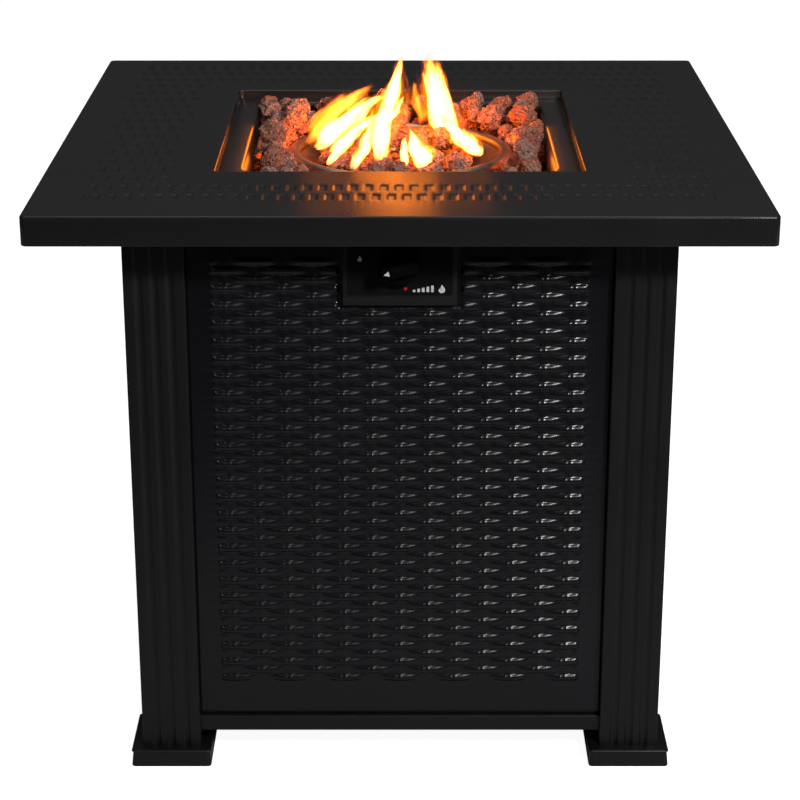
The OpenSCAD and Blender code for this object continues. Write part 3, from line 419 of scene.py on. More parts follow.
def bare_material(name):
    """New material with a plain Principled shader, its tree and its shader node."""
    plain = bpy.data.materials.get(name)
    if plain:
        plain.name = name + "_plain"
    material = bpy.data.materials.new(name)
    material.use_nodes = True
    material.node_tree.nodes.clear()
    tree = Tree(material.node_tree)
    shader = tree.add("ShaderNodeBsdfPrincipled")
    tree.add("ShaderNodeOutputMaterial", {"Surface": Signal(tree, shader.outputs[0])})
    return material, tree, shader


def surface(name, group, values, bump, traits):
    """Material whose colour, roughness and height come from a group, with plain traits on its shader."""
    material, tree, shader = bare_material(name)
    colour, roughness, height = tree.outputs("ShaderNodeGroup", values, node_tree=group)
    tree.fill(shader, {"Base Color": colour, "Roughness": roughness,
                       "Normal": tree.bump(height, bump, 0.0004), **traits})
    return material


def coated(name, colour, roughness, peel=900.0, bump=0.12, dust=0.06, specular=0.5):
    """Satin powder coat."""
    values = {"Colour": rgba(colour), "Dust": rgba(settings().coats.dust), "Dust Share": dust,
              "Roughness": roughness, "Peel Scale": peel}
    return surface(name, coat_grain(), values, bump, {"Specular IOR Level": specular})


def bare_metal(name, colour, stain, roughness, share=0.4, lines=600.0, bump=0.15, metallic=1.0):
    """Bare or plated metal."""
    values = {"Colour": rgba(colour), "Stain": rgba(stain), "Stain Share": share,
              "Roughness": roughness, "Line Scale": lines}
    return surface(name, metal_wear(), values, bump, {"Metallic": metallic})


def dish_steel():
    """Stainless steel with straw, purple and blue heat tints in rings, and fine turned lines."""
    material, tree, shader = bare_material("dish_steel")
    where = tree.where()
    reach = (where * (1.0, 1.0, 0.0)).math("LENGTH")
    heat = reach + (tree.noise(where, 22.0, 3.0) * 0.05 - 0.025)
    tint = tree.ramp(tree.ranged(heat, 0.060, 0.126), [
        (0.0, (0.07, 0.05, 0.04)), (0.26, (0.15, 0.09, 0.05)), (0.42, (0.11, 0.06, 0.10)),
        (0.56, (0.05, 0.06, 0.12)), (0.74, (0.24, 0.19, 0.15)), (1.0, (0.42, 0.36, 0.30))])
    turned = tree.noise(tree.value("ShaderNodeCombineXYZ", {0: reach}), 1400.0, 1.0)
    tree.fill(shader, {"Base Color": tint, "Roughness": tree.noise(where, 90.0, 4.0) * 0.30 + 0.20,
                       "Normal": tree.bump(turned, 0.12, 0.0003), "Metallic": 1.0})
    return material


def lava_rock():
    """Porous lava rock: each stone has its own tint, with pits, painted shade darkening the pores and a lighter
    colour on the ridges between them.
    """
    fire = settings().fire
    material, tree, shader = bare_material("lava_rock")
    where = tree.where()
    wide = tree.noise(where, 70.0, 4.0, 0.6)
    own = tree.ranged(tree.attribute("tint") + (wide * 0.7 - 0.35), 0.28, 0.82)
    stone = tree.mix(own, rgba(fire.ash), rgba(fire.rust))
    sway = tree.value("ShaderNodeTexNoise", {"Vector": where, "Scale": 260.0}, "Color")
    warped = where + tree.scaled(sway, 0.0022)
    large = tree.cells(warped, 240.0)
    small = tree.cells(warped, 520.0)
    hollow = tree.ranged(large, 0.16, 0.36).math("MINIMUM", tree.ranged(small, 0.10, 0.34))
    crumb = tree.noise(where, 520.0, 4.0, 0.75)
    # Painted shade: the stone colour is darkened towards near-black in the pores, where shade falls
    dark = tree.mix(hollow * 0.60 + 0.40, (0.024, 0.014, 0.012, 1.0), stone)
    # Lighter colour on the ridges between the pores
    crest = tree.ranged(small, 0.46, 0.66) * tree.ranged(crumb, 0.40, 0.66) * 0.4
    tree.fill(shader, {
        "Base Color": tree.mix(crest, dark, rgba(fire.crest)), "Roughness": crumb * 0.2 + 0.74,
        "Normal": tree.bump(crumb * 0.35 + hollow, 1.0, 0.0012), "Specular IOR Level": 0.25})
    return material


def flame_light():
    """Burning gas: yellow where it is thick, orange and clear where it thins out, and orange as a light."""
    fire = settings().fire
    material, tree, shader = bare_material("flame_light")
    flow = tree.attribute("flow", "Vector")
    across, rise, _ = tree.outputs("ShaderNodeSeparateXYZ", {0: flow})
    streak = tree.noise(flow * (1.0, 1.8, 3.7), 2.1, 3.0, 0.6)
    ragged = across.math("ABSOLUTE") + (streak * 1.5 - 0.75)
    cool = rise.math("POWER", 2.0) * 0.55
    thick = tree.ranged(ragged + cool, 1.06, 0.24) * tree.attribute("hotness")
    late = tree.ranged(rise, 0.66, 0.96)
    lit = tree.ranged(streak * 0.3 + rise, 0.08, 0.36) * tree.ranged(rise, 1.0, 0.84)
    warm = tree.ramp(thick, [(0.0, fire.rim), (0.35, fire.body), (0.62, fire.core)])
    burning = tree.mix(late, warm, rgba(fire.ember))
    tree.fill(shader, {"Emission Color": tree.mix(tree.camera_ray(), rgba(fire.mirrored), burning),
                       "Alpha": (thick * lit).math("POWER", 2.2 - late), "Emission Strength": 24.0,
                       "Base Color": BLACK, "Specular IOR Level": 0.0, "Roughness": 1.0})
    return material


PRINT = {"peel": 1500.0, "bump": 0.05, "dust": 0.25}

# Each coat: its colour in the settings, its roughness and what sets it apart
COATS = {
    "top_coat": ("top", 0.29, {"peel": 1100.0, "bump": 0.04, "dust": 0.03}),
    "frame_coat": ("frame", 0.44, {}),
    "panel_coat": ("panel", 0.27, {"bump": 0.06, "dust": 0.03}),
    "control_coat": ("control", 0.46, {}),
    "control_plate": ("plate", 0.58, {"peel": 1600.0, "bump": 0.05, "dust": 0.02, "specular": 0.14}),
    "knob_plastic": ("knob", 0.52, {"peel": 1500.0, "dust": 0.02, "specular": 0.05}),
    "bowl_coat": ("bowl", 0.36, {"peel": 700.0, "bump": 0.10, "dust": 0.08}),
    "white_print": ("white", 0.5, PRINT),
    "red_print": ("red", 0.5, PRINT),
    "red_lead": ("lead", 0.42, {"peel": 700.0}),
}

# Each metal, and the ceramic: its colour, stain and roughness and what sets it apart
METALS = {
    "zinc_steel": ((0.56, 0.56, 0.57), (0.28, 0.27, 0.25), 0.34, {}),
    "valve_brass": ((0.62, 0.42, 0.16), (0.22, 0.13, 0.05), 0.32, {}),
    "tube_aluminium": ((0.68, 0.68, 0.69), (0.40, 0.39, 0.38), 0.36, {}),
    "elbow_iron": ((0.075, 0.072, 0.070), (0.12, 0.06, 0.03), 0.56,
                   {"lines": 260.0, "bump": 0.5, "metallic": 0.6}),
    "white_ceramic": ((0.70, 0.66, 0.56), (0.34, 0.28, 0.20), 0.28, {"share": 0.25, "metallic": 0.0}),
    "copper_lead": ((0.60, 0.29, 0.16), (0.20, 0.09, 0.05), 0.34, {}),
}

OTHERS = {"dish_steel": dish_steel, "lava_rock": lava_rock, "flame_light": flame_light}


@cache
def finish(slot):
    """The material of a slot."""
    if slot in COATS:
        colour, roughness, traits = COATS[slot]
        return coated(slot, getattr(settings().coats, colour), roughness, **traits)
    if slot in METALS:
        colour, stain, roughness, traits = METALS[slot]
        return bare_metal(slot, colour, stain, roughness, **traits)
    return OTHERS[slot]()


# Mesh helpers

SMOOTH_LIMIT = math.radians(38)


def new_mesh(name, points, faces, sharp=SMOOTH_LIMIT):
    """Closed mesh with its faces turned outwards, smooth up to the sharp angle."""
    mesh = bpy.data.meshes.new(name)
    mesh.from_pydata([tuple(point) for point in points], [], faces)
    shell = bmesh.new()
    shell.from_mesh(mesh)
    bmesh.ops.recalc_face_normals(shell, faces=shell.faces)
    shell.to_mesh(mesh)
    shell.free()
    mesh.shade_smooth()
    mesh.set_sharp_from_angle(angle=sharp)
    return mesh


def placed(name, mesh, slot):
    """Object at the origin with one finish."""
    thing = bpy.data.objects.new(name, mesh)
    bpy.context.scene.collection.objects.link(thing)
    mesh.materials.clear()
    mesh.materials.append(finish(slot))
    return thing


def settle(thing, body, nodes=()):
    """Lets a finished piece ride on its body and stand for its nodes."""
    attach(thing, body)
    if nodes:
        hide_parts(*nodes)


def piece(name, shape, slot, nodes=(), body="table", sharp=SMOOTH_LIMIT, stand=None):
    """Closed piece of points and faces, stood in its place, listed under its slot or another."""
    mesh = new_mesh(name, *shape, sharp)
    if stand:
        mesh.transform(stand)
    settle(placed(name, mesh, slot), body, nodes)


def grown(thing, tree, slot, values):
    """Runs a geometry tree on an object and keeps the result as its plain mesh."""
    values = {**values, "Material": finish(slot)}
    modifier = thing.modifiers.new(tree.name, "NODES")
    modifier.node_group = tree
    for item in tree.interface.items_tree:
        if item.name in values:
            modifier[item.identifier] = values[item.name]
    bpy.context.view_layer.update()
    done = thing.evaluated_get(bpy.context.evaluated_depsgraph_get())
    mesh = bpy.data.meshes.new_from_object(done)
    thing.modifiers.remove(modifier)
    thing.data = mesh


def dress(*nodes):
    """Gives CAD nodes the finish of their own slots."""
    for node in nodes:
        mesh = frame["nodes"][node].data
        mesh.materials.clear()
        mesh.materials.append(finish(SLOT_OF[node]))


def store(mesh, label, values):
    """Keeps a number or a vector of each point as an attribute."""
    values = np.asarray(values, np.float32)
    kind, key = ("FLOAT", "value") if values.ndim == 1 else ("FLOAT_VECTOR", "vector")
    mesh.attributes.new(label, kind, "POINT").data.foreach_set(key, values.ravel())


def lamp(name, kind, place, watts, **traits):
    """New light at a place."""
    light = bpy.data.lights.new(name, kind)
    light.energy = watts
    for key, value in traits.items():
        setattr(light, key, value)
    thing = bpy.data.objects.new(name, light)
    thing.location = place
    bpy.context.scene.collection.objects.link(thing)
    return thing


def quarter_turn(quarter):
    """Turn from the front to another side of the table."""
    return Matrix.Rotation(quarter * math.pi / 2, 4, "Z")


def bridge(faces, first, second):
    """Faces between two loops of equal count, or between a loop and a single point."""
    if len(first) == len(second):
        for k, number in enumerate(first):
            after = (k + 1) % len(first)
            faces.append((number, first[after], second[after], second[k]))
        return
    pole, ring = sorted((first, second), key=len)
    faces += [(pole[0], number, ring[(k + 1) % len(ring)]) for k, number in enumerate(ring)]


def loft(rings):
    """Points and faces of a closed skin over rings of equal count, capped at both ends."""
    count = len(rings[0])
    points = [point for ring in rings for point in ring]
    loops = [list(range(k * count, (k + 1) * count)) for k in range(len(rings))]
    faces = [tuple(loops[0]), tuple(loops[-1])]
    for first, second in zip(loops, loops[1:]):
        bridge(faces, first, second)
    return points, faces


def merged(shapes):
    """Points and faces of several shapes as one."""
    points, faces = [], []
    for more, sides in shapes:
        first = len(points)
        faces += [tuple(first + number for number in side) for side in sides]
        points += more
    return points, faces


def square_ring(half, radius, z, middle=(0.0, 0.0), steps=8):
    """Points round a rounded square."""
    ring = []
    for quarter, (sx, sy) in enumerate(((1, 1), (-1, 1), (-1, -1), (1, -1))):
        for k in range(steps + 1):
            angle = math.radians(90 * (quarter + k / steps))
            x = sx * (half - radius) + radius * math.cos(angle)
            y = sy * (half - radius) + radius * math.sin(angle)
            ring.append((middle[0] + x, middle[1] + y, z))
    return ring


def circle(steps):
    """Angles round a circle."""
    return [2 * math.pi * k / steps for k in range(steps)]


def revolved(profile, steps=96):
    """Points and faces of (radius, height) pairs turned round Z; a profile off the axis is a closed ring."""
    points, faces, loops = [], [], []
    for radius, height in profile:
        angles = circle(steps) if radius > 0.0 else [0.0]
        loops.append(list(range(len(points), len(points) + len(angles))))
        points += [(radius * math.cos(angle), radius * math.sin(angle), height) for angle in angles]
    if profile[0][0] > 0.0:
        loops.append(loops[0])
    for first, second in zip(loops, loops[1:]):
        bridge(faces, first, second)
    return points, faces


def curve(start, corner, end, t):
    """Point on a curve that leaves its start and nears its end along the lines to a corner."""
    return start * (1 - t) ** 2 + corner * (2 * t * (1 - t)) + end * t ** 2


def rounded(outline, radius, steps=4, least=math.radians(14)):
    """Closed outline of 2-D points with its corners eased to a radius."""
    points = [Vector(point) for point in outline]
    eased = []
    for k, corner in enumerate(points):
        back = points[k - 1] - corner
        ahead = points[(k + 1) % len(points)] - corner
        turn = math.pi - back.angle(ahead)
        if turn < least:
            eased.append(corner)
            continue
        cut = min(radius * math.tan(turn / 2), 0.45 * min(back.length, ahead.length))
        start = corner + back.normalized() * cut
        end = corner + ahead.normalized() * cut
        eased += [curve(start, corner, end, step / steps) for step in range(steps + 1)]
    return eased


def prism(outline, low, high, ease=0.0):
    """Points and faces of a bar along Z with an outline, its end edges eased."""
    outline = [Vector(point) for point in outline]
    middle = sum(outline, Vector((0.0, 0.0))) / len(outline)
    span = max((point - middle).length for point in outline)
    rings = []
    for z, inset in ((low, ease), (low + ease, 0.0), (high - ease, 0.0), (high, ease)):
        ring = [middle + (point - middle) * (1.0 - inset / span) for point in outline]
        rings.append([(point.x, point.y, z) for point in ring])
    return loft(rings if ease else [rings[0], rings[-1]])


def laid(shape):
    """Bar built along Z, laid along X."""
    points, faces = shape
    return [(z, x, y) for x, y, z in points], faces


def arc_steps(radius, steps=5):
    """Steps (outwards, down) of a quarter roll."""
    angles = [math.pi / 2 * k / steps for k in range(1, steps + 1)]
    return [(radius * math.sin(angle), radius * (1 - math.cos(angle))) for angle in angles]


# Pressed sheets

STRAND_PARTS = (0.0, 0.1, 0.5, 0.9)
PANEL_STRAND_PARTS = (0.0, 0.13, 0.31, 0.5, 0.69, 0.87)
TOP_STAKE_PARTS = (0.0, 0.2, 0.25, 0.3, 0.36, 0.5, 0.64, 0.7, 0.75, 0.8)
PANEL_STAKE_PARTS = (0.0, 0.015, 0.035, 0.056, 0.104, 0.174, 0.25, 0.347, 0.5, 0.642, 0.729, 0.792, 0.813,
                     0.833, 0.854, 0.875, 0.917, 0.958, 0.986)
KNUCKLES = (-0.0048, 0.0004)
CORNER_LINES = (0.0, math.tan(math.radians(15)), math.tan(math.radians(30)), 1.0)
SHEET_SHARP = math.radians(50)


def part_lines(low, high, gap, parts, start):
    """Lines at the given parts of each gap, between two ends."""
    first = math.floor((low - start) / gap)
    last = math.ceil((high - start) / gap)
    values = [start + (k + part) * gap for k in range(first, last + 1) for part in parts]
    return [value for value in values if low < value < high]


def merged_lines(wanted, others, least=0.0004):
    """All lines in order; a wanted line keeps others that lie too close to it out."""
    kept = sorted(set(round(value, 7) for value in wanted))
    near = [value for value in others if all(abs(value - keep) > least for keep in kept)]
    return sorted(kept + near)


def corner_lines(middle, half, radius):
    """Lines that a rounded corner needs, at both ends."""
    places = [half - radius + radius * part for part in CORNER_LINES]
    return [middle + place for place in places] + [middle - place for place in places]


def both_ways(*places):
    """Places and their mirror images."""
    return [side * place for side in (-1, 1) for place in places]


def nearest(lines, place):
    """Number of the line nearest to a place."""
    return min(range(len(lines)), key=lambda k: abs(lines[k] - place))


def sheet_grid(points, faces, across, up, height, hole=0.0):
    """Adds a flat grid of points, without the cells inside a hole's half width, as an array of numbers."""
    first = len(points)
    points += [[a, b, height] for b in up for a in across]
    index = np.arange(first, first + len(across) * len(up)).reshape(len(up), len(across))
    for j in range(len(up) - 1):
        inside = abs(up[j] + up[j + 1]) / 2 < hole
        for i in range(len(across) - 1):
            if inside and abs(across[i] + across[i + 1]) / 2 < hole:
                continue
            faces.append((index[j, i], index[j, i + 1], index[j + 1, i + 1], index[j + 1, i]))
    return index


def grid_loop(index, left=0, right=-1, low=0, high=-1):
    """Numbers of the points round a rectangle of a grid, or round all of it."""
    high, right = high % index.shape[0], right % index.shape[1]
    block = index[low:high + 1, left:right + 1]
    sides = (block[0, :-1], block[:-1, -1], block[-1, :0:-1], block[:0:-1, 0])
    return [int(number) for number in np.concatenate(sides)]


def round_loop(points, loop, middle, half, radius):
    """Draws a loop's corners in to a radius and gives each point's direction outwards."""
    outwards = []
    for number in loop:
        offset = [points[number][k] - middle[k] for k in (0, 1)]
        past = [abs(offset[k]) - (half[k] - radius) for k in (0, 1)]
        signs = [math.copysign(1.0, offset[k]) for k in (0, 1)]
        if min(past) > 1e-9:
            size = math.hypot(*past)
            way = [past[k] / size for k in (0, 1)]
            for k in (0, 1):
                points[number][k] = middle[k] + signs[k] * (half[k] - radius + radius * way[k])
        else:
            way = [1.0, 0.0] if past[0] > past[1] else [0.0, 1.0]
        outwards.append((signs[0] * way[0], signs[1] * way[1]))
    return outwards


def skirt(points, faces, loop, outwards, steps):
    """Rings beside a loop at steps of (outwards, height); gives the last ring."""
    last = loop
    for out, height in steps:
        ring = list(range(len(points), len(points) + len(loop)))
        for number, way in zip(loop, outwards):
            start = points[number]
            points.append([start[0] + way[0] * out, start[1] + way[1] * out, height])
        bridge(faces, last, ring)
        last = ring
    return last


def share_of(values, ramp):
    """Share from 0 to 1 along a ramp."""
    return np.clip(values / ramp, 0, 1)


def knuckle(beside, place, width=0.0011):
    """Narrow upright rib beside a stake, from 0 to 1."""
    off = (beside - place) / width
    return (off * off * -1.0).math("EXPONENT")


@cache
def weave_tree():
    """Weave of strands over and under stakes, raised from a sheet where its relief attribute says so."""
    tree, given = new_group("pressed_weave", "GeometryNodeTree", {
        "Geometry": "Geometry", "Along": (1.0, 0.0, 0.0), "Across": (0.0, 0.0, 1.0), "Out": (0.0, -1.0, 0.0),
        "Stake Gap": 0.0288, "Stake Start": 0.0, "Strand Width": 0.0093, "Strand Start": 0.0,
        "Stake Half": 0.005, "Stake Height": 0.3, "Dip From": -1.0, "Dip To": 1.0, "Dip Low": 0.08,
        "Groove": 1.0, "Rib": 0.0, "Level": 0.0, "Relief": 0.003, "Material": "Material"}, MESH_OUTPUT)
    here = tree.value("GeometryNodeInputPosition")
    along = (here.math("DOT_PRODUCT", given["Along"]) - given["Stake Start"]) / given["Stake Gap"]
    across = (here.math("DOT_PRODUCT", given["Across"]) - given["Strand Start"]) / given["Strand Width"]
    row = (across + 1e-4).math("FLOOR")
    over = ((along + row) * math.pi).math("COSINE")
    crown = ((across - row - 0.5) * math.pi).math("COSINE")
    full = crown.math("MAXIMUM", 0.0).math("POWER", 0.65)
    grooved = 1.0 - (1.0 - full) * given["Groove"]
    strand = grooved * tree.ranged(over, given["Dip From"], given["Dip To"], given["Dip Low"])
    beside = (along - along.math("ROUND")) * given["Stake Gap"]
    reach = beside / given["Stake Half"]
    stake = (1.0 - reach * reach).math("MAXIMUM", 0.0).math("SQRT") * given["Stake Height"]
    ribs = knuckle(beside, KNUCKLES[0]) + knuckle(beside, KNUCKLES[1])
    ribs = ribs * (full * over.math("MAXIMUM", 0.0))
    height = ribs * given["Rib"] + strand.math("MAXIMUM", stake) - given["Level"]
    lift = height * tree.column("relief") * given["Relief"]
    raised = tree.value("GeometryNodeSetPosition", {"Geometry": given["Geometry"],
                                                    "Offset": tree.scaled(given["Out"], lift)})
    return tree.show(raised, given["Material"])


def top_sheet():
    """Mesh of the table top: pressed sheet with a turned-down rim and a ledge in its opening."""
    sizes = settings().sheets
    weave = settings().weave
    top, rim = TOP_HIGH.z, TOP_LOW.z
    under = top - sizes.sheet
    half = TOP_HIGH.x - sizes.top_roll
    radius = sizes.top_corner - sizes.top_roll
    hole = sizes.opening / 2 + sizes.opening_roll
    hole_radius = sizes.opening_corner + sizes.opening_roll
    ramp = 0.002
    inner_edge, reach = weave.band_inner, weave.band_outer
    wanted = corner_lines(0.0, half, radius) + corner_lines(0.0, hole, hole_radius)
    wanted += both_ways(inner_edge - ramp, inner_edge + ramp, reach - ramp, reach + ramp)
    strands = part_lines(-reach, reach, weave.top_strand, STRAND_PARTS, weave.top_strand / 2)
    stakes = part_lines(-reach, reach, weave.top_stake, TOP_STAKE_PARTS, -weave.top_shift)
    across, up = merged_lines(wanted, strands), merged_lines(wanted, stakes)
    block = [nearest(lines, place) for lines in (across, up) for place in (-hole, hole)]
    points, faces = [], []
    outer, inner = [], []
    for height in (top, under):
        index = sheet_grid(points, faces, across, up, height, hole)
        outer.append(grid_loop(index))
        inner.append(grid_loop(index, *block))
        ways = round_loop(points, outer[-1], (0.0, 0.0), (half, half), radius)
        hole_ways = round_loop(points, inner[-1], (0.0, 0.0), (hole, hole), hole_radius)
    roll = sizes.top_roll
    lip = 0.0008
    steps = [(out, top - down) for out, down in arc_steps(roll)]
    steps += [(roll, rim + lip), (roll - lip * 0.3, rim + lip * 0.3), (roll - lip, rim)]
    steps += [(roll - sizes.sheet, rim + 0.0002), (roll - sizes.sheet, under - roll)]
    bridge(faces, skirt(points, faces, outer[0], ways, steps), outer[1])
    curl = sizes.opening_roll
    ledge = top - sizes.ledge_drop
    steps = [(out, top - down) for out, down in arc_steps(curl)]
    steps += [(curl, ledge + 0.0015), (curl + 0.0005, ledge + 0.0004), (curl + 0.0015, ledge)]
    steps += [(curl + sizes.ledge, ledge), (curl + sizes.ledge, ledge - sizes.sheet)]
    steps += [(curl - sizes.sheet, ledge - sizes.sheet), (curl - sizes.sheet, under - curl)]
    inwards = [(-way[0], -way[1]) for way in hole_ways]
    bridge(faces, skirt(points, faces, inner[0], inwards, steps), inner[1])
    mesh = new_mesh("table_top_sheet", points, faces, SHEET_SHARP)
    far = np.abs(np.asarray(points)[:, :2]).max(axis=1)
    within = share_of(reach + ramp - far, 2 * ramp)
    store(mesh, "relief", share_of(far - inner_edge + ramp, 2 * ramp) * within)
    return mesh


def panel_sheet(name, low, high, notch):
    """Mesh of a pressed panel at the front: border, raised weave field and turned-back edges."""
    sizes = settings().sheets
    weave = settings().weave
    roll, depth = sizes.panel_roll, sizes.panel_depth
    corner = 0.001
    ramp = 0.0035
    half = (high.x - low.x) / 2 - roll
    bottom, top = low.z + roll, high.z - roll
    middle = (0.0, (bottom + top) / 2)
    tall = (top - bottom) / 2
    field = (high.x - low.x) / 2 - weave.side_border
    field_low, field_high = low.z + weave.end_border, high.z - weave.end_border
    wanted_across = corner_lines(0.0, half, corner) + both_ways(field, field - ramp)
    wanted_up = corner_lines(middle[1], tall, corner)
    wanted_up += [field_low, field_low + ramp, field_high - ramp, field_high]
    if notch:
        wanted_across += both_ways(notch[0], notch[0] + ramp)
        wanted_up += [notch[1], notch[1] - ramp]
    stakes = part_lines(-field, field, weave.panel_stake, PANEL_STAKE_PARTS, 0.0)
    strands = part_lines(field_low, field_high, weave.panel_strand, PANEL_STRAND_PARTS, field_low)
    across, rows = merged_lines(wanted_across, stakes), merged_lines(wanted_up, strands)
    points, faces = [], []
    index = sheet_grid(points, faces, across, rows, 0.0)
    loop = grid_loop(index)
    ways = round_loop(points, loop, middle, (half, tall), corner)
    steps = [(out, -down) for out, down in arc_steps(roll, 4)]
    steps += [(roll, -depth), (roll - sizes.panel_sheet, -depth), (roll - sizes.panel_sheet, -0.002)]
    steps += [(roll - 0.0015, -0.001)]
    faces.append(tuple(skirt(points, faces, loop, ways, steps)))
    side, up, out = np.asarray(points).T
    share = np.minimum(share_of(field - np.abs(side), ramp), share_of(up - field_low, ramp))
    share = np.minimum(share, share_of(field_high - up, ramp))
    if notch:
        past_notch = np.maximum(share_of(np.abs(side) - notch[0], ramp), share_of(notch[1] - up, ramp))
        share = np.minimum(share, past_notch)
    share = np.where(out > -1e-9, share, 0.0)
    stood = np.column_stack((side, -panel_face() - (out + share * weave.panel_base), up))
    mesh = new_mesh(name, stood, faces, SHEET_SHARP)
    store(mesh, "relief", share)
    return mesh, field_low


def woven_panel(name, node, low, high, quarter, body, notch=None):
    """One woven panel on its side of the table."""
    weave = settings().weave
    mesh, field_low = panel_sheet(name, low, high, notch)
    thing = placed(name, mesh, "panel_coat")
    grown(thing, weave_tree(), "panel_coat", {
        "Along": (1.0, 0.0, 0.0), "Across": (0.0, 0.0, 1.0), "Out": (0.0, -1.0, 0.0),
        "Stake Gap": weave.panel_stake, "Strand Width": weave.panel_strand, "Strand Start": field_low,
        "Stake Half": 0.0046, "Rib": 0.12, "Relief": weave.panel_relief})
    thing.data.transform(quarter_turn(quarter))
    settle(thing, body, [node])


# Operators

class FIRETABLE_OT_stage(bpy.types.Operator):
    """Sets the camera, the pale floor and the soft studio lights"""

    bl_idname = "fire_table.stage"
    bl_label = "Stage"

    # Each soft light: the name of its power in the settings, its place and its size
    lights = (("key", (1.15, -2.2, 1.85), 0.30), ("fill", (-1.7, -2.1, 1.7), 0.6),
              ("top", (0.0, 0.5, 2.4), 1.6), ("back", (0.0, 3.0, 1.5), 2.4))

    def execute(self, context):
        scene = context.scene
        studio = settings().studio
        lens = bpy.data.cameras.new("camera")
        lens.lens = studio.lens
        lens.sensor_width = 36.0
        lens.clip_end = 100.0
        camera = bpy.data.objects.new("camera", lens)
        camera.location = (0.0, -studio.distance, studio.height)
        camera.rotation_euler = (math.pi / 2 - studio.tilt, 0.0, 0.0)
        scene.collection.objects.link(camera)
        scene.camera = camera
        scene.view_settings.view_transform = "Standard"
        reach = 14.0
        corners = [(-reach, -reach, 0.0), (reach, -reach, 0.0), (reach, reach, 0.0), (-reach, reach, 0.0)]
        mesh = bpy.data.meshes.new("floor")
        mesh.from_pydata(corners, [], [(0, 1, 2, 3)])
        mesh.materials.append(self.floor_finish(studio))
        floor = bpy.data.objects.new("floor", mesh)
        scene.collection.objects.link(floor)
        self.set_world(scene)
        aim = Vector((0.0, 0.0, 0.38))
        for label, place, size in self.lights:
            watts = getattr(studio, label + "_power")
            thing = lamp(label + "_light", "AREA", place, watts, shape="SQUARE", size=size)
            thing.rotation_euler = (aim - Vector(place)).to_track_quat("-Z", "Y").to_euler()
        return {"FINISHED"}

    def floor_finish(self, studio):
        """White to the camera and dark to reflections, as round a product on a light table."""
        material, tree, shader = bare_material("floor_finish")
        where = tree.where()
        seen = tree.camera_ray()
        pale = tree.mix(tree.noise(where, 3.0), rgba(studio.floor), (0.94, 0.94, 0.94, 1.0))
        # Painted shade for reflections: to everything but the camera the floor is dark, and lighter near the table
        near = tree.ranged(tree.outputs("ShaderNodeSeparateXYZ", {0: where})[1], -1.4, -0.3)
        dull = tree.mix(near, (0.07, 0.07, 0.075, 1.0), (0.52, 0.52, 0.53, 1.0))
        tree.fill(shader, {"Base Color": tree.mix(seen, dull, pale), "Emission Strength": seen * 0.94,
                           "Emission Color": WHITE, "Roughness": 0.9, "Specular IOR Level": 0.0})
        return material

    def set_world(self, scene):
        """White to the camera, dim to everything else."""
        world = bpy.data.worlds.new("studio")
        scene.world = world
        world.use_nodes = True
        world.node_tree.nodes.clear()
        tree = Tree(world.node_tree)
        dim = tree.value("ShaderNodeBackground", {"Color": (0.040, 0.041, 0.044, 1.0)})
        bright = tree.value("ShaderNodeBackground", {"Color": WHITE})
        both = tree.value("ShaderNodeMixShader", {0: tree.camera_ray(), 1: dim, 2: bright})
        tree.add("ShaderNodeOutputWorld", {"Surface": both})


class FIRETABLE_OT_table_top(bpy.types.Operator):
    """Builds the pressed table top with its weave band"""

    bl_idname = "fire_table.table_top"
    bl_label = "Table top"

    strands_each_side = 42.5

    def execute(self, context):
        weave = settings().weave
        thing = placed("table_top_sheet", top_sheet(), "top_coat")
        grown(thing, weave_tree(), "top_coat", {
            "Along": (0.0, 1.0, 0.0), "Across": (1.0, 0.0, 0.0), "Out": (0.0, 0.0, 1.0),
            "Stake Gap": weave.top_stake, "Stake Start": -weave.top_shift, "Stake Height": 0.0,
            "Strand Width": weave.top_strand, "Strand Start": -self.strands_each_side * weave.top_strand,
            "Dip From": -0.78, "Dip To": -0.45, "Dip Low": 0.0, "Groove": 0.12, "Level": 1.0,
            "Relief": weave.top_relief})
        settle(thing, "table", ["table_top"])
        return {"FINISHED"}


class FIRETABLE_OT_panels(bpy.types.Operator):
    """Builds the three fixed woven panels"""

    bl_idname = "fire_table.panels"
    bl_label = "Fixed panels"

    def execute(self, context):
        gap = settings().weave.notch_gap
        notch = (BOX_HIGH.x + gap, BOX_LOW.z - gap)
        for node, quarter in FIXED_PANELS.items():
            woven_panel(node + "_sheet", node, FRONT_LOW, FRONT_HIGH, quarter, "table",
                        notch if node == "front_panel" else None)
        return {"FINISHED"}


class FIRETABLE_OT_door(bpy.types.Operator):
    """Builds the rear access door with its pull"""

    bl_idname = "fire_table.door"
    bl_label = "Access door"

    # Outline of the pull as shares of its radius and of its length
    pull = ((0.66, 0.0), (0.60, 0.12), (0.50, 0.30), (0.60, 0.45), (0.92, 0.58), (1.0, 0.66), (1.0, 0.84),
            (0.95, 0.92), (0.82, 0.98), (0.5, 1.0), (0.0, 1.0))

    def execute(self, context):
        woven_panel("access_door_sheet", "access_door", DOOR_LOW, DOOR_HIGH, 2, "door")
        reach = (PULL_HIGH.x - PULL_LOW.x) / 2
        face = panel_face()
        long = PULL_HIGH.y - face
        sunk = -0.004
        profile = [(0.0, sunk), (reach * 0.42, sunk)] + [(reach * a, long * b) for a, b in self.pull]
        middle = (PULL_LOW + PULL_HIGH) / 2
        stand = Matrix.Translation((middle.x, face, middle.z)) @ Matrix.Rotation(-math.pi / 2, 4, "X")
        piece("door_pull_knob", revolved(profile, 48), "knob_plastic", ["door_pull"], "door", stand=stand)
        dress("door_pivots", "pull_nut", "catch_strike", "door_catch")
        return {"FINISHED"}


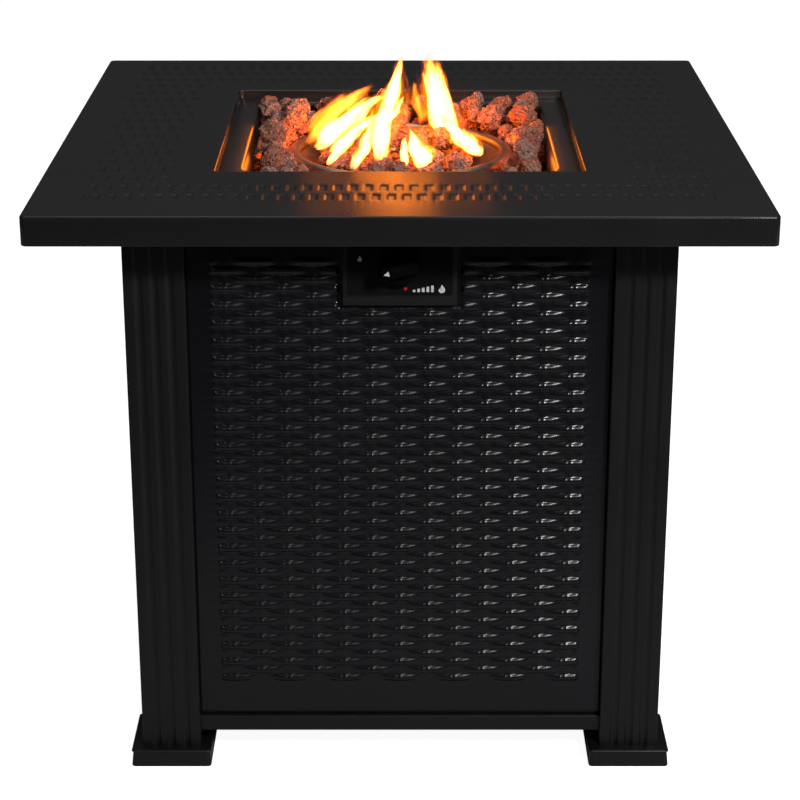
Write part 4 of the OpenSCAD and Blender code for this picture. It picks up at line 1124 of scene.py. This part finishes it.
class FIRETABLE_OT_legs(bpy.types.Operator):
    """Builds the four fluted legs and their feet"""

    bl_idname = "fire_table.legs"
    bl_label = "Legs and feet"

    def execute(self, context):
        for label, signs in CORNERS.items():
            self.leg("leg_" + label, signs)
            self.foot("foot_" + label)
        dress("foot_bolts")
        return {"FINISHED"}

    def flute_side(self, half, sizes):
        """Points along one fluted face, from left to right, as (along, outwards)."""
        radius = sizes.flute_radius
        sunk = radius - sizes.flute_depth
        opening = math.atan2(math.sqrt(radius ** 2 - sunk ** 2), sunk)
        points = []
        for place in (-sizes.flute_pitch, 0.0, sizes.flute_pitch):
            for k in range(-5, 6):
                angle = opening * k / 5
                points.append((place + radius * math.sin(angle), half + sunk - radius * math.cos(angle)))
        return points

    def leg(self, node, signs):
        """One leg: its two outer faces are fluted."""
        sizes = settings().sheets
        low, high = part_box(node)
        half = (high.x - low.x) / 2
        middle = (low + high) / 2
        flutes = self.flute_side(half, sizes)
        outline = [(half, -half), (half, half), (-half, half)]
        outline += [(-out, -along) for along, out in flutes]
        outline += [(-half, -half)] + [(along, -out) for along, out in flutes]
        eased = rounded(outline, sizes.bar_round * 1.6)
        outline = [(middle.x - signs[0] * point.x, middle.y - signs[1] * point.y) for point in eased]
        piece(node + "_post", prism(outline, low.z, high.z), "frame_coat", [node], sharp=math.radians(32))

    def foot(self, node):
        """One foot: hollow cap with eased edges."""
        low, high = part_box(node)
        middle = ((low.x + high.x) / 2, (low.y + high.y) / 2)
        half = (high.x - low.x) / 2
        radius, wall, ease = 0.004, 0.002, 0.0018
        ceiling = high.z - wall
        rings = [(half - wall - 0.002, radius, ceiling), (half - wall, radius - wall, ceiling - 0.002),
                 (half - wall, radius - wall, low.z), (half - 0.0005, radius - 0.0005, low.z),
                 (half, radius, low.z + 0.0008)]
        for out, down in reversed(arc_steps(ease) + [(0.0, 0.0)]):
            rings.append((half - ease + out, radius, high.z - down))
        piece(node + "_cap", loft([square_ring(*ring, middle) for ring in rings]), "frame_coat", [node])


class FIRETABLE_OT_rails(bpy.types.Operator):
    """Builds the bottom rails and coats the plates of the frame"""

    bl_idname = "fire_table.rails"
    bl_label = "Rails and plates"

    def execute(self, context):
        low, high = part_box("bottom_rail_front")
        sheet = 0.0015
        profile = [(low.y, low.z), (low.y + sheet, low.z), (low.y + sheet, high.z - sheet),
                   (high.y, high.z - sheet), (high.y, high.z), (low.y, high.z)]
        bar = laid(prism(rounded(profile, settings().sheets.bar_round), low.x, high.x))
        for quarter, side in enumerate(SIDES):
            node = "bottom_rail_" + side
            piece(node + "_bar", bar, "frame_coat", [node], stand=quarter_turn(quarter))
        dress(*("top_rail_" + side for side in SIDES), "base_plate", "tank_ring")
        return {"FINISHED"}


class FIRETABLE_OT_control_box(bpy.types.Operator):
    """Builds the control box with its inset plate and plain marks"""

    bl_idname = "fire_table.control_box"
    bl_label = "Control box"

    # Outline of a flame mark of height 1
    flame = ((0.0, 1.0), (0.14, 0.76), (0.31, 0.54), (0.37, 0.30), (0.28, 0.09), (0.10, 0.0), (-0.10, 0.0),
             (-0.28, 0.09), (-0.37, 0.30), (-0.28, 0.50), (-0.17, 0.42), (-0.10, 0.70))

    def execute(self, context):
        low, high = BOX_LOW, BOX_HIGH
        strip, set_back, ease = 0.0095, 0.004, 0.0012
        profile = [(high.y, low.z), (low.y + set_back, low.z), (low.y, low.z + strip), (low.y, high.z),
                   (high.y, high.z)]
        shell = laid(prism(rounded(profile, ease), low.x, high.x, ease))
        piece("control_box_shell", shell, "control_coat", ["control_box"])
        edge, proud = 0.0045, 0.0006
        left, right = low.x + edge, high.x - edge
        bottom, top = low.z + strip + 0.0025, high.z - edge
        plate = [(left, bottom), (right, bottom), (right, top), (left, top)]
        self.flat("control_plate", [rounded(plate, 0.003)], proud, "control_plate")
        self.flat("white_marks", self.marks(), proud + 0.00012, "white_print")
        x, z, radius = 0.0054, 0.5258, 0.0017
        dot = [(x + radius * math.cos(angle), z + radius * math.sin(angle)) for angle in circle(24)]
        self.flat("red_dot", [dot], proud + 0.00015, "red_print")
        return {"FINISHED"}

    def flat(self, name, outlines, proud, slot):
        """Thin raised shapes on the control face."""
        points, faces = merged(prism(outline, 0.0, proud) for outline in outlines)
        points = [(x, BOX_LOW.y - z, y) for x, y, z in points]
        piece(name, (points, faces), slot)

    def marks(self):
        """A small flame for low, and rising bars with a large flame for high."""
        shapes = []
        for x, z, tall in ((-0.0395, 0.5535, 0.0062), (0.0410, 0.5215, 0.0090)):
            shapes.append(rounded([(x + tall * a, z + tall * b) for a, b in self.flame], 0.0005))
        base, wide = 0.5225, 0.0026
        for k in range(5):
            x = 0.0125 + 0.0045 * k
            top = base + (0.0022 + 0.0011 * k)
            shapes.append([(x, base), (x + wide, base), (x + wide, top), (x, top)])
        return shapes


class FIRETABLE_OT_knob(bpy.types.Operator):
    """Builds the control knob with its bar grip and pointer"""

    bl_idname = "fire_table.knob"
    bl_label = "Control knob"

    def execute(self, context):
        reach, ease = 0.0205, 0.0016
        deep = KNOB_HIGH.y - KNOB_LOW.y
        skirt_deep = 0.006
        dip = skirt_deep - 0.0006
        profile = [(0.0, 0.0), (reach - 0.0006, 0.0), (reach, 0.0006)]
        profile += [(reach - ease + ease * math.cos(angle), skirt_deep - ease + ease * math.sin(angle))
                    for angle in (0.0, 0.4, 0.8, 1.2, math.pi / 2)]
        profile += [(reach - 0.004, skirt_deep + 0.0002), (reach - 0.006, dip), (0.0, dip)]
        half, long = 0.0065, reach - 0.0004
        grip = []
        for k in range(17):
            angle = math.pi * (k / 16) - math.pi / 2
            grip.append((half * math.sin(angle), long - half * 0.55 * (1 - math.cos(angle))))
        outline = grip + [(-x, -z) for x, z in grip]
        levels = ((skirt_deep - 0.002, 1.10), (skirt_deep + 0.001, 1.02), (skirt_deep + 0.004, 1.0),
                  (deep - 0.004, 0.95), (deep - 0.0012, 0.93), (deep - 0.0003, 0.90), (deep, 0.86))
        rings = []
        for depth, shrink in levels:
            tail = min(1.0, 0.1 + 0.9 * shrink)
            rings.append([(x * shrink, z * tail, depth) for x, z in outline])
        stand = self.stand()
        shape = merged([revolved(profile), loft(rings)])
        piece("control_knob_grip", shape, "knob_plastic", ["control_knob"], "knob", math.radians(40), stand)
        tip = [(0.0, long * 0.82), (-0.0027, long * 0.54), (0.0027, long * 0.54)]
        pointer = prism(rounded(tip, 0.0003), deep - 0.001, deep + 0.0002)
        piece("knob_pointer", pointer, "white_print", body="knob", stand=stand)
        dress("valve_stem")
        return {"FINISHED"}

    def stand(self):
        """From the knob's own frame, its pointer up, to its place, its pointer just below nine o'clock."""
        upright = Matrix(((1, 0, 0, 0), (0, 0, -1, 0), (0, 1, 0, 0), (0, 0, 0, 1)))
        turned = Matrix.Rotation(-math.radians(105), 4, "Y")
        return Matrix.Translation((TURN_AXIS[0], KNOB_HIGH.y, TURN_AXIS[2])) @ turned @ upright


class FIRETABLE_OT_bowl(bpy.types.Operator):
    """Builds the square fire bowl"""

    bl_idname = "fire_table.bowl"
    bl_label = "Fire bowl"

    def execute(self, context):
        sheet, draft = 0.0012, 0.003
        mouth = settings().sheets.mouth / 2
        foot = mouth - draft
        flange, top = BOWL_HIGH.x, BOWL_HIGH.z
        bottom = BOWL_LOW.z
        floor = bottom + sheet
        outside = [(foot - 0.010, 0.016, bottom), (foot - 0.001, 0.021, bottom + 0.001),
                   (foot + sheet, 0.0232, floor + 0.004), (mouth + sheet, 0.0262, top - 0.004),
                   (mouth + 0.003, 0.028, top - sheet), (flange, 0.004, top - sheet),
                   (flange, 0.004, top - 0.0004), (flange - 0.0004, 0.004, top)]
        inside = [(mouth + 0.004, 0.029, top), (mouth + 0.0018, 0.0268, top - 0.0004),
                  (mouth + 0.0005, 0.0255, top - 0.0016), (mouth, 0.025, top - 0.004),
                  (foot, 0.022, floor + 0.005), (foot - 0.0012, 0.021, floor + 0.002),
                  (foot - 0.004, 0.019, floor + 0.0004), (foot - 0.008, 0.016, floor)]
        pan = loft([square_ring(*ring) for ring in outside + inside])
        piece("fire_bowl_pan", pan, "bowl_coat", ["fire_bowl"], sharp=math.radians(55))
        return {"FINISHED"}


class FIRETABLE_OT_burner(bpy.types.Operator):
    """Builds the burner dish and finishes the burner head and its sensors"""

    bl_idname = "fire_table.burner"
    bl_label = "Burner"

    def execute(self, context):
        sheet = 0.001
        low, high = DISH_LOW.z, DISH_HIGH.z
        lip = 0.0155 / 2
        floor = low + sheet
        hole = 0.012
        inner = [(hole, floor), (DISH_FLOOR - 0.004, floor), (DISH_FLOOR, floor + 0.0006),
                 (DISH_FLOOR + 0.004, floor + 0.0024)]
        over = self.roll(DISH_HIGH.x - lip, high - lip, lip, math.pi, -0.5)
        back = self.roll(DISH_HIGH.x - lip, high - lip, lip - sheet, -0.5, math.pi)
        outer = [(DISH_FLOOR + 0.0045, low + 0.0012), (DISH_FLOOR + 0.001, low), (hole, low)]
        pan = revolved(inner + over + back + outer, 128)
        piece("burner_dish_pan", pan, "dish_steel", ["burner_dish"], sharp=SHEET_SHARP)
        dress("burner_head", "burner_stub", "lock_nut", "sensor_bracket", "bracket_rivets",
              "igniter_electrode", "thermocouple", "igniter_lead", "thermocouple_lead")
        return {"FINISHED"}

    def roll(self, reach, height, radius, start, end):
        """Points round the rolled lip between two angles."""
        return [(reach + radius * math.cos(angle), height + radius * math.sin(angle))
                for angle in np.linspace(start, end, 20)]


class FIRETABLE_OT_gas_train(bpy.types.Operator):
    """Finishes the valve with its spring, the feed pipe and the mixer"""

    bl_idname = "fire_table.gas_train"
    bl_label = "Gas train"

    def execute(self, context):
        dress("valve_body", "valve_bonnet", "valve_plug", "valve_screws", "feed_pipe", "orifice",
              "mixer_tube", "burner_elbow")
        coil = placed("stem_spring_coil", frame["nodes"]["stem_spring"].data.copy(), "zinc_steel")
        settle(coil, "valve_plug", ["stem_spring"])
        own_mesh(coil)
        return {"FINISHED"}


class FIRETABLE_OT_fasteners(bpy.types.Operator):
    """Finishes the nuts and screws"""

    bl_idname = "fire_table.fasteners"
    bl_label = "Fasteners"

    def execute(self, context):
        dress("top_nuts", "base_screws", "panel_screws")
        return {"FINISHED"}


@cache
def stone_tree():
    """Rough stones at points, each with facets, lumps and pits of its own."""
    tree, given = new_group("lava_stones", "GeometryNodeTree", {
        "Geometry": "Geometry", "Detail": 4, "Lump": 0.55, "Crumb": 0.30, "Pit": 0.12, "Facet": 0.9,
        "Material": "Material"}, MESH_OUTPUT)
    middle, size, turn = (tree.column(label, "FLOAT_VECTOR") for label in ("middle", "size", "turn"))
    tint = tree.column("tint")
    ball = tree.value("GeometryNodeMeshIcoSphere", {"Radius": 1.0, "Subdivisions": given["Detail"]})
    turned = tree.value("FunctionNodeEulerToRotation", {0: turn})
    set_out = tree.value("GeometryNodeInstanceOnPoints", {
        "Points": given["Geometry"], "Instance": ball, "Rotation": turned, "Scale": size})
    real = tree.value("GeometryNodeRealizeInstances", {"Geometry": set_out})
    arm = tree.value("GeometryNodeInputPosition") - middle
    shifted = arm + tree.scaled((1.0, 2.0, 3.0), tint)
    lump = tree.noise(shifted, 78.0, 1.0) - 0.5
    crumb = tree.noise(shifted, 260.0, 3.0) - 0.5
    pit = tree.ranged(tree.cells(shifted, 190.0), 0.50, 0.26)
    aim = arm.math("NORMALIZE")
    own = tree.scaled((5.0, 9.0, 13.0), tint)
    face = (tree.cells(aim + own, 1.15, "Position") - own).math("NORMALIZE")
    flat = tree.math("DIVIDE", 0.86, aim.math("DOT_PRODUCT", face).math("MAXIMUM", 0.7))
    out = (flat - 1.0) * given["Facet"] + lump * given["Lump"] + crumb * given["Crumb"] - pit * given["Pit"]
    rough = tree.value("GeometryNodeSetPosition", {"Geometry": real, "Offset": tree.scaled(arm, out)})
    plain = tree.value("GeometryNodeSetShadeSmooth", {"Geometry": rough, "Shade Smooth": False})
    return tree.show(plain, given["Material"])


class FIRETABLE_OT_lava_rock(bpy.types.Operator):
    """Piles lava rock round and inside the burner dish"""

    bl_idname = "fire_table.lava_rock"
    bl_label = "Lava rock"

    # Width of a cell of the ground, places tried for a stone, and shares of its radius: seat, rise and crown
    cell = 0.002
    tries = 90
    seat, rise, crown = 0.85, 0.78, 0.8

    def execute(self, context):
        fire = settings().fire
        rng = np.random.default_rng(fire.seed)
        half = settings().sheets.mouth / 2 - 0.003
        ticks = np.arange(-half, half, self.cell)
        spots = np.meshgrid(ticks, ticks)
        far = np.hypot(*spots)
        dish = DISH_HIGH.x
        wall_run, wall_rise, lip = 0.035, 0.022, 0.008
        slope = share_of(far - DISH_FLOOR, wall_run) * wall_rise
        ground = np.where(far < dish, DISH_LOW.z + slope, BOWL_LOW.z)
        ground = np.where(abs(far - dish + lip) < lip, DISH_HIGH.z, ground)

        def bowl_top(x, y, size):
            if math.hypot(x, y) < dish + 0.3 * size or max(abs(x), abs(y)) > half - 0.8 * size:
                return 0.0
            if y < -0.03 and abs(x) > half - 1.8 * size:
                return 0.0
            if y < -0.09 and abs(x) < 0.10:
                return fire.front_top
            return fire.side_top if y < 0.04 and abs(x) - size < 0.118 else fire.bowl_top

        def dish_top(x, y, size):
            if math.hypot(x, y) > 0.092 - 0.4 * size:
                return 0.0
            return fire.dish_top + 0.014 * (y > 0.03 and x > -0.02)

        stones = self.drop(ground, spots, rng, fire.bowl_stones, half, bowl_top)
        self.stones("bowl_lava_stones", stones, rng, ["bowl_rocks"])
        stones = self.drop(ground, spots, rng, fire.dish_stones, 0.09, dish_top)
        self.stones("dish_lava_stones", stones, rng, ["dish_rocks"])
        return {"FINISHED"}

    def drop(self, ground, spots, rng, count, half, highest):
        """Lays stones one by one in the lowest of several places, on the ground and the stones before."""
        fire = settings().fire
        stones = []
        for _ in range(count):
            size = rng.uniform(fire.stone_small, fire.stone_large)
            best = None
            for x, y in rng.uniform(-half, half, (self.tries, 2)):
                top = highest(x, y, size)
                if not top:
                    continue
                away = (spots[0] - x) ** 2 + (spots[1] - y) ** 2
                under = away < (self.seat * size) ** 2
                height = (ground[under] + self.rise * np.sqrt(size ** 2 - away[under])).max()
                if height + self.crown * size < top and (best is None or height < best[2]):
                    best = (x, y, height)
            if best is None:
                continue
            x, y, height = best
            away = (spots[0] - x) ** 2 + (spots[1] - y) ** 2
            over = away < size ** 2
            ground[over] = np.maximum(ground[over], height + self.rise * np.sqrt(size ** 2 - away[over]))
            stones.append((x, y, height, size))
        return stones

    def stones(self, name, stones, rng, nodes):
        """One piece of stones grown from their places."""
        count = len(stones)
        middles = np.array([stone[:3] for stone in stones], np.float32)
        sizes = np.array([stone[3] for stone in stones])[:, None] * rng.uniform(0.82, 1.16, (count, 3))
        mesh = bpy.data.meshes.new(name)
        mesh.from_pydata([tuple(map(float, middle)) for middle in middles], [], [])
        store(mesh, "middle", middles)
        store(mesh, "size", sizes)
        store(mesh, "turn", rng.uniform(0, 2 * math.pi, (count, 3)))
        store(mesh, "tint", rng.uniform(0.15, 1.0, count))
        thing = placed(name, mesh, "lava_rock")
        grown(thing, stone_tree(), "lava_rock", {})
        settle(thing, "table", nodes)


class FIRETABLE_OT_flames(bpy.types.Operator):
    """Lights the fire: leaning flames over the burner dish and their warm glow"""

    bl_idname = "fire_table.flames"
    bl_label = "Flames"

    # Each flame: foot, bend and tip in millimetres from the table's middle, its width, taper and heat
    tongues = (
        ((-98, 50, 599), (-93, 62, 627), (-54, 104, 635), 24, 0.8, 0.31),
        ((-100, 16, 599), (-79, 78, 630), (-25, 130, 640), 26, 0.7, 0.42),
        ((-91, -4, 599), (-60, 46, 624), (-13, 111, 636), 32, 0.8, 1.0),
        ((-76, -23, 599), (-50, 0, 615), (-16, 70, 628), 19, 0.8, 0.9),
        ((-77, -71, 599), (-61, -33, 609), (-38, 23, 620), 15, 0.8, 0.8),
        ((-48, -91, 599), (-40, -33, 609), (-25, 49, 625), 19, 0.8, 0.8),
        ((-24, -55, 599), (-27, -7, 614), (-14, 97, 633), 26, 0.8, 0.75),
        ((-19, -41, 599), (-17, 78, 630), (4, 247, 656), 28, 0.8, 1.0),
        ((-15, 60, 611), (-4, 62, 627), (6, 103, 635), 11, 0.8, 0.8),
        ((24, 70, 608), (19, 93, 633), (15, 148, 642), 20, 0.8, 0.32),
        ((59, 16, 599), (35, 70, 629), (33, 244, 655), 24, 0.30, 1.0),
        ((70, 4, 599), (48, 41, 623), (42, 230, 654), 20, 0.40, 0.75),
        ((90, -18, 599), (62, -20, 611), (45, 56, 626), 28, 0.8, 1.0),
        ((6, -76, 599), (3, -40, 607), (6, 0, 615), 14, 0.8, 0.8),
        ((27, -71, 599), (22, -46, 606), (5, 22, 620), 42, 1.5, 1.0),
        ((-88, 55, 605), (-66, 90, 630), (-28, 132, 641), 38, 0.8, 0.25),
        ((-40, -30, 600), (-38, 20, 618), (-8, 140, 640), 36, 0.8, 0.26),
        ((62, 5, 600), (42, 60, 625), (28, 215, 652), 46, 0.6, 0.25),
        ((35, -50, 600), (28, -35, 606), (5, 10, 617), 44, 0.9, 0.28),
        ((-10, -20, 600), (-10, 90, 630), (4, 240, 655), 34, 0.7, 0.25),
    )

    # Each light of the fire: its share of the glow and its place
    glows = ((1.0, (-0.045, 0.0, 0.645)), (0.8, (0.040, 0.01, 0.650)), (0.7, (0.0, 0.06, 0.650)),
             (0.4, (-0.115, -0.01, 0.605)), (0.4, (0.110, -0.03, 0.605)))

    # Each light that only shines in glossy coats: its share of the sheen and its place
    sheens = ((0.80, (-0.024, 0.0, 0.674)), (0.70, (0.014, 0.0, 0.688)), (0.46, (-0.008, 0.0, 0.704)),
              (0.38, (0.012, 0.0, 0.720)), (0.16, (-0.080, 0.0, 0.690)), (0.13, (0.075, 0.0, 0.690)))

    # Each light on a wall beside the fire: its share, its place on the right and its length
    wall_glows = ((1.0, (0.158, -0.06, 0.6180), 0.22), (0.5, (0.147, -0.09, 0.6030), 0.10))

    # Height that no flame passes, and the way that the flames' flat sides face
    ceiling = 0.658
    facing = Vector((0.0, 0.94, -0.35))

    def execute(self, context):
        points, faces, flows, heats = [], [], [], []
        for number, (*tongue, heat) in enumerate(self.tongues):
            self.tongue(points, faces, flows, number, *tongue)
            heats += [heat] * (len(points) - len(heats))
        mesh = new_mesh("flame_tongues", points, faces, math.pi)
        store(mesh, "flow", flows)
        store(mesh, "hotness", heats)
        settle(placed("flame_tongues", mesh, "flame_light"), "table")
        fire = settings().fire
        for share, place in self.glows:
            light = self.glow("fire_glow", "POINT", place, share * fire.glow_power, shadow_soft_size=0.015)
            light.visible_glossy = False
        for share, place in self.sheens:
            light = self.glow("fire_sheen", "POINT", place, share * fire.sheen_power, shadow_soft_size=0.028)
            light.visible_diffuse = False
        for side in (-1, 1):
            for share, (x, y, z), span in self.wall_glows:
                light = self.glow("fire_wall_glow", "AREA", (side * x, y, z), share * fire.wall_power,
                                  shape="RECTANGLE", size=0.008, size_y=span)
                light.rotation_euler = (0.0, -side * math.pi / 2, 0.0)
        return {"FINISHED"}

    def glow(self, name, kind, place, watts, **traits):
        """Warm light that the camera doesn't see."""
        light = lamp(name, kind, place, watts, color=settings().fire.glow, **traits)
        light.visible_camera = False
        return light

    def tongue(self, points, faces, flows, number, foot, bend, tip, width, taper):
        """One flame: flat, closed, tapering body along a curve, its flow being (across, along, number)."""
        rings, sides = 22, 24
        foot, bend, tip = (Vector(place) * 0.001 for place in (foot, bend, tip))
        half = width * 0.0005
        loops = []
        for k in range(rings + 1):
            t = k / rings
            ahead = ((bend - foot) * (1 - t) + (tip - bend) * t).normalized()
            side = ahead.cross(self.facing).normalized()
            side = Matrix.Rotation(math.radians(18 * math.sin(2.1 * number + 2.4 * t)), 3, ahead) @ side
            thick = ahead.cross(side)
            swell = half * (0.22 + 1.35 * t) * (1 - t) ** taper / 0.50
            wave = 0.12 * half * math.sin(7.0 * t + 1.7 * number)
            middle = curve(foot, bend, tip, t) + side * wave
            if k in (0, rings):
                loops.append([len(points)])
                points.append(middle)
                flows.append((0.0, t, number))
                continue
            loops.append(list(range(len(points), len(points) + sides)))
            for angle in circle(sides):
                lick = 1.0 + 0.22 * math.sin(8.0 * t + 2.3 * number + math.copysign(1.4, math.cos(angle)))
                across = swell * lick * math.cos(angle)
                spot = middle + side * across + thick * (0.24 * swell * math.sin(angle))
                spot.z = min(spot.z, self.ceiling)
                points.append(spot)
                flows.append((math.cos(angle), t, number))
        for first, second in zip(loops, loops[1:]):
            bridge(faces, first, second)


class FIRETABLE_PT_sidebar(bpy.types.Panel):
    """Lists the pieces of the table"""

    bl_idname = "FIRETABLE_PT_sidebar"
    bl_label = "Fire table"
    bl_space_type = "VIEW_3D"
    bl_region_type = "UI"
    bl_category = "Fire table"

    def draw(self, context):
        for operator in OPERATORS:
            self.layout.operator(operator.bl_idname)


GROUPS = (WeaveSizes, SheetSizes, CoatColours, FireSettings, StudioSettings, FireTableSettings)
OPERATORS = (FIRETABLE_OT_stage, FIRETABLE_OT_table_top, FIRETABLE_OT_panels, FIRETABLE_OT_door,
             FIRETABLE_OT_legs, FIRETABLE_OT_rails, FIRETABLE_OT_control_box, FIRETABLE_OT_knob,
             FIRETABLE_OT_bowl, FIRETABLE_OT_burner, FIRETABLE_OT_gas_train, FIRETABLE_OT_fasteners,
             FIRETABLE_OT_lava_rock, FIRETABLE_OT_flames)
CLASSES = GROUPS + OPERATORS + (FIRETABLE_PT_sidebar,)


def register():
    """Adds the classes and the scene's settings."""
    for cls in CLASSES:
        bpy.utils.register_class(cls)
    bpy.types.Scene.fire_table = PointerProperty(type=FireTableSettings)


def unregister():
    """Takes the settings and the classes away."""
    del bpy.types.Scene.fire_table
    for cls in reversed(CLASSES):
        bpy.utils.unregister_class(cls)


def main():
    """Builds every piece in order."""
    register()
    for operator in OPERATORS:
        group, name = operator.bl_idname.split(".")
        getattr(getattr(bpy.ops, group), name)()


if __name__ == "__main__":
    main()
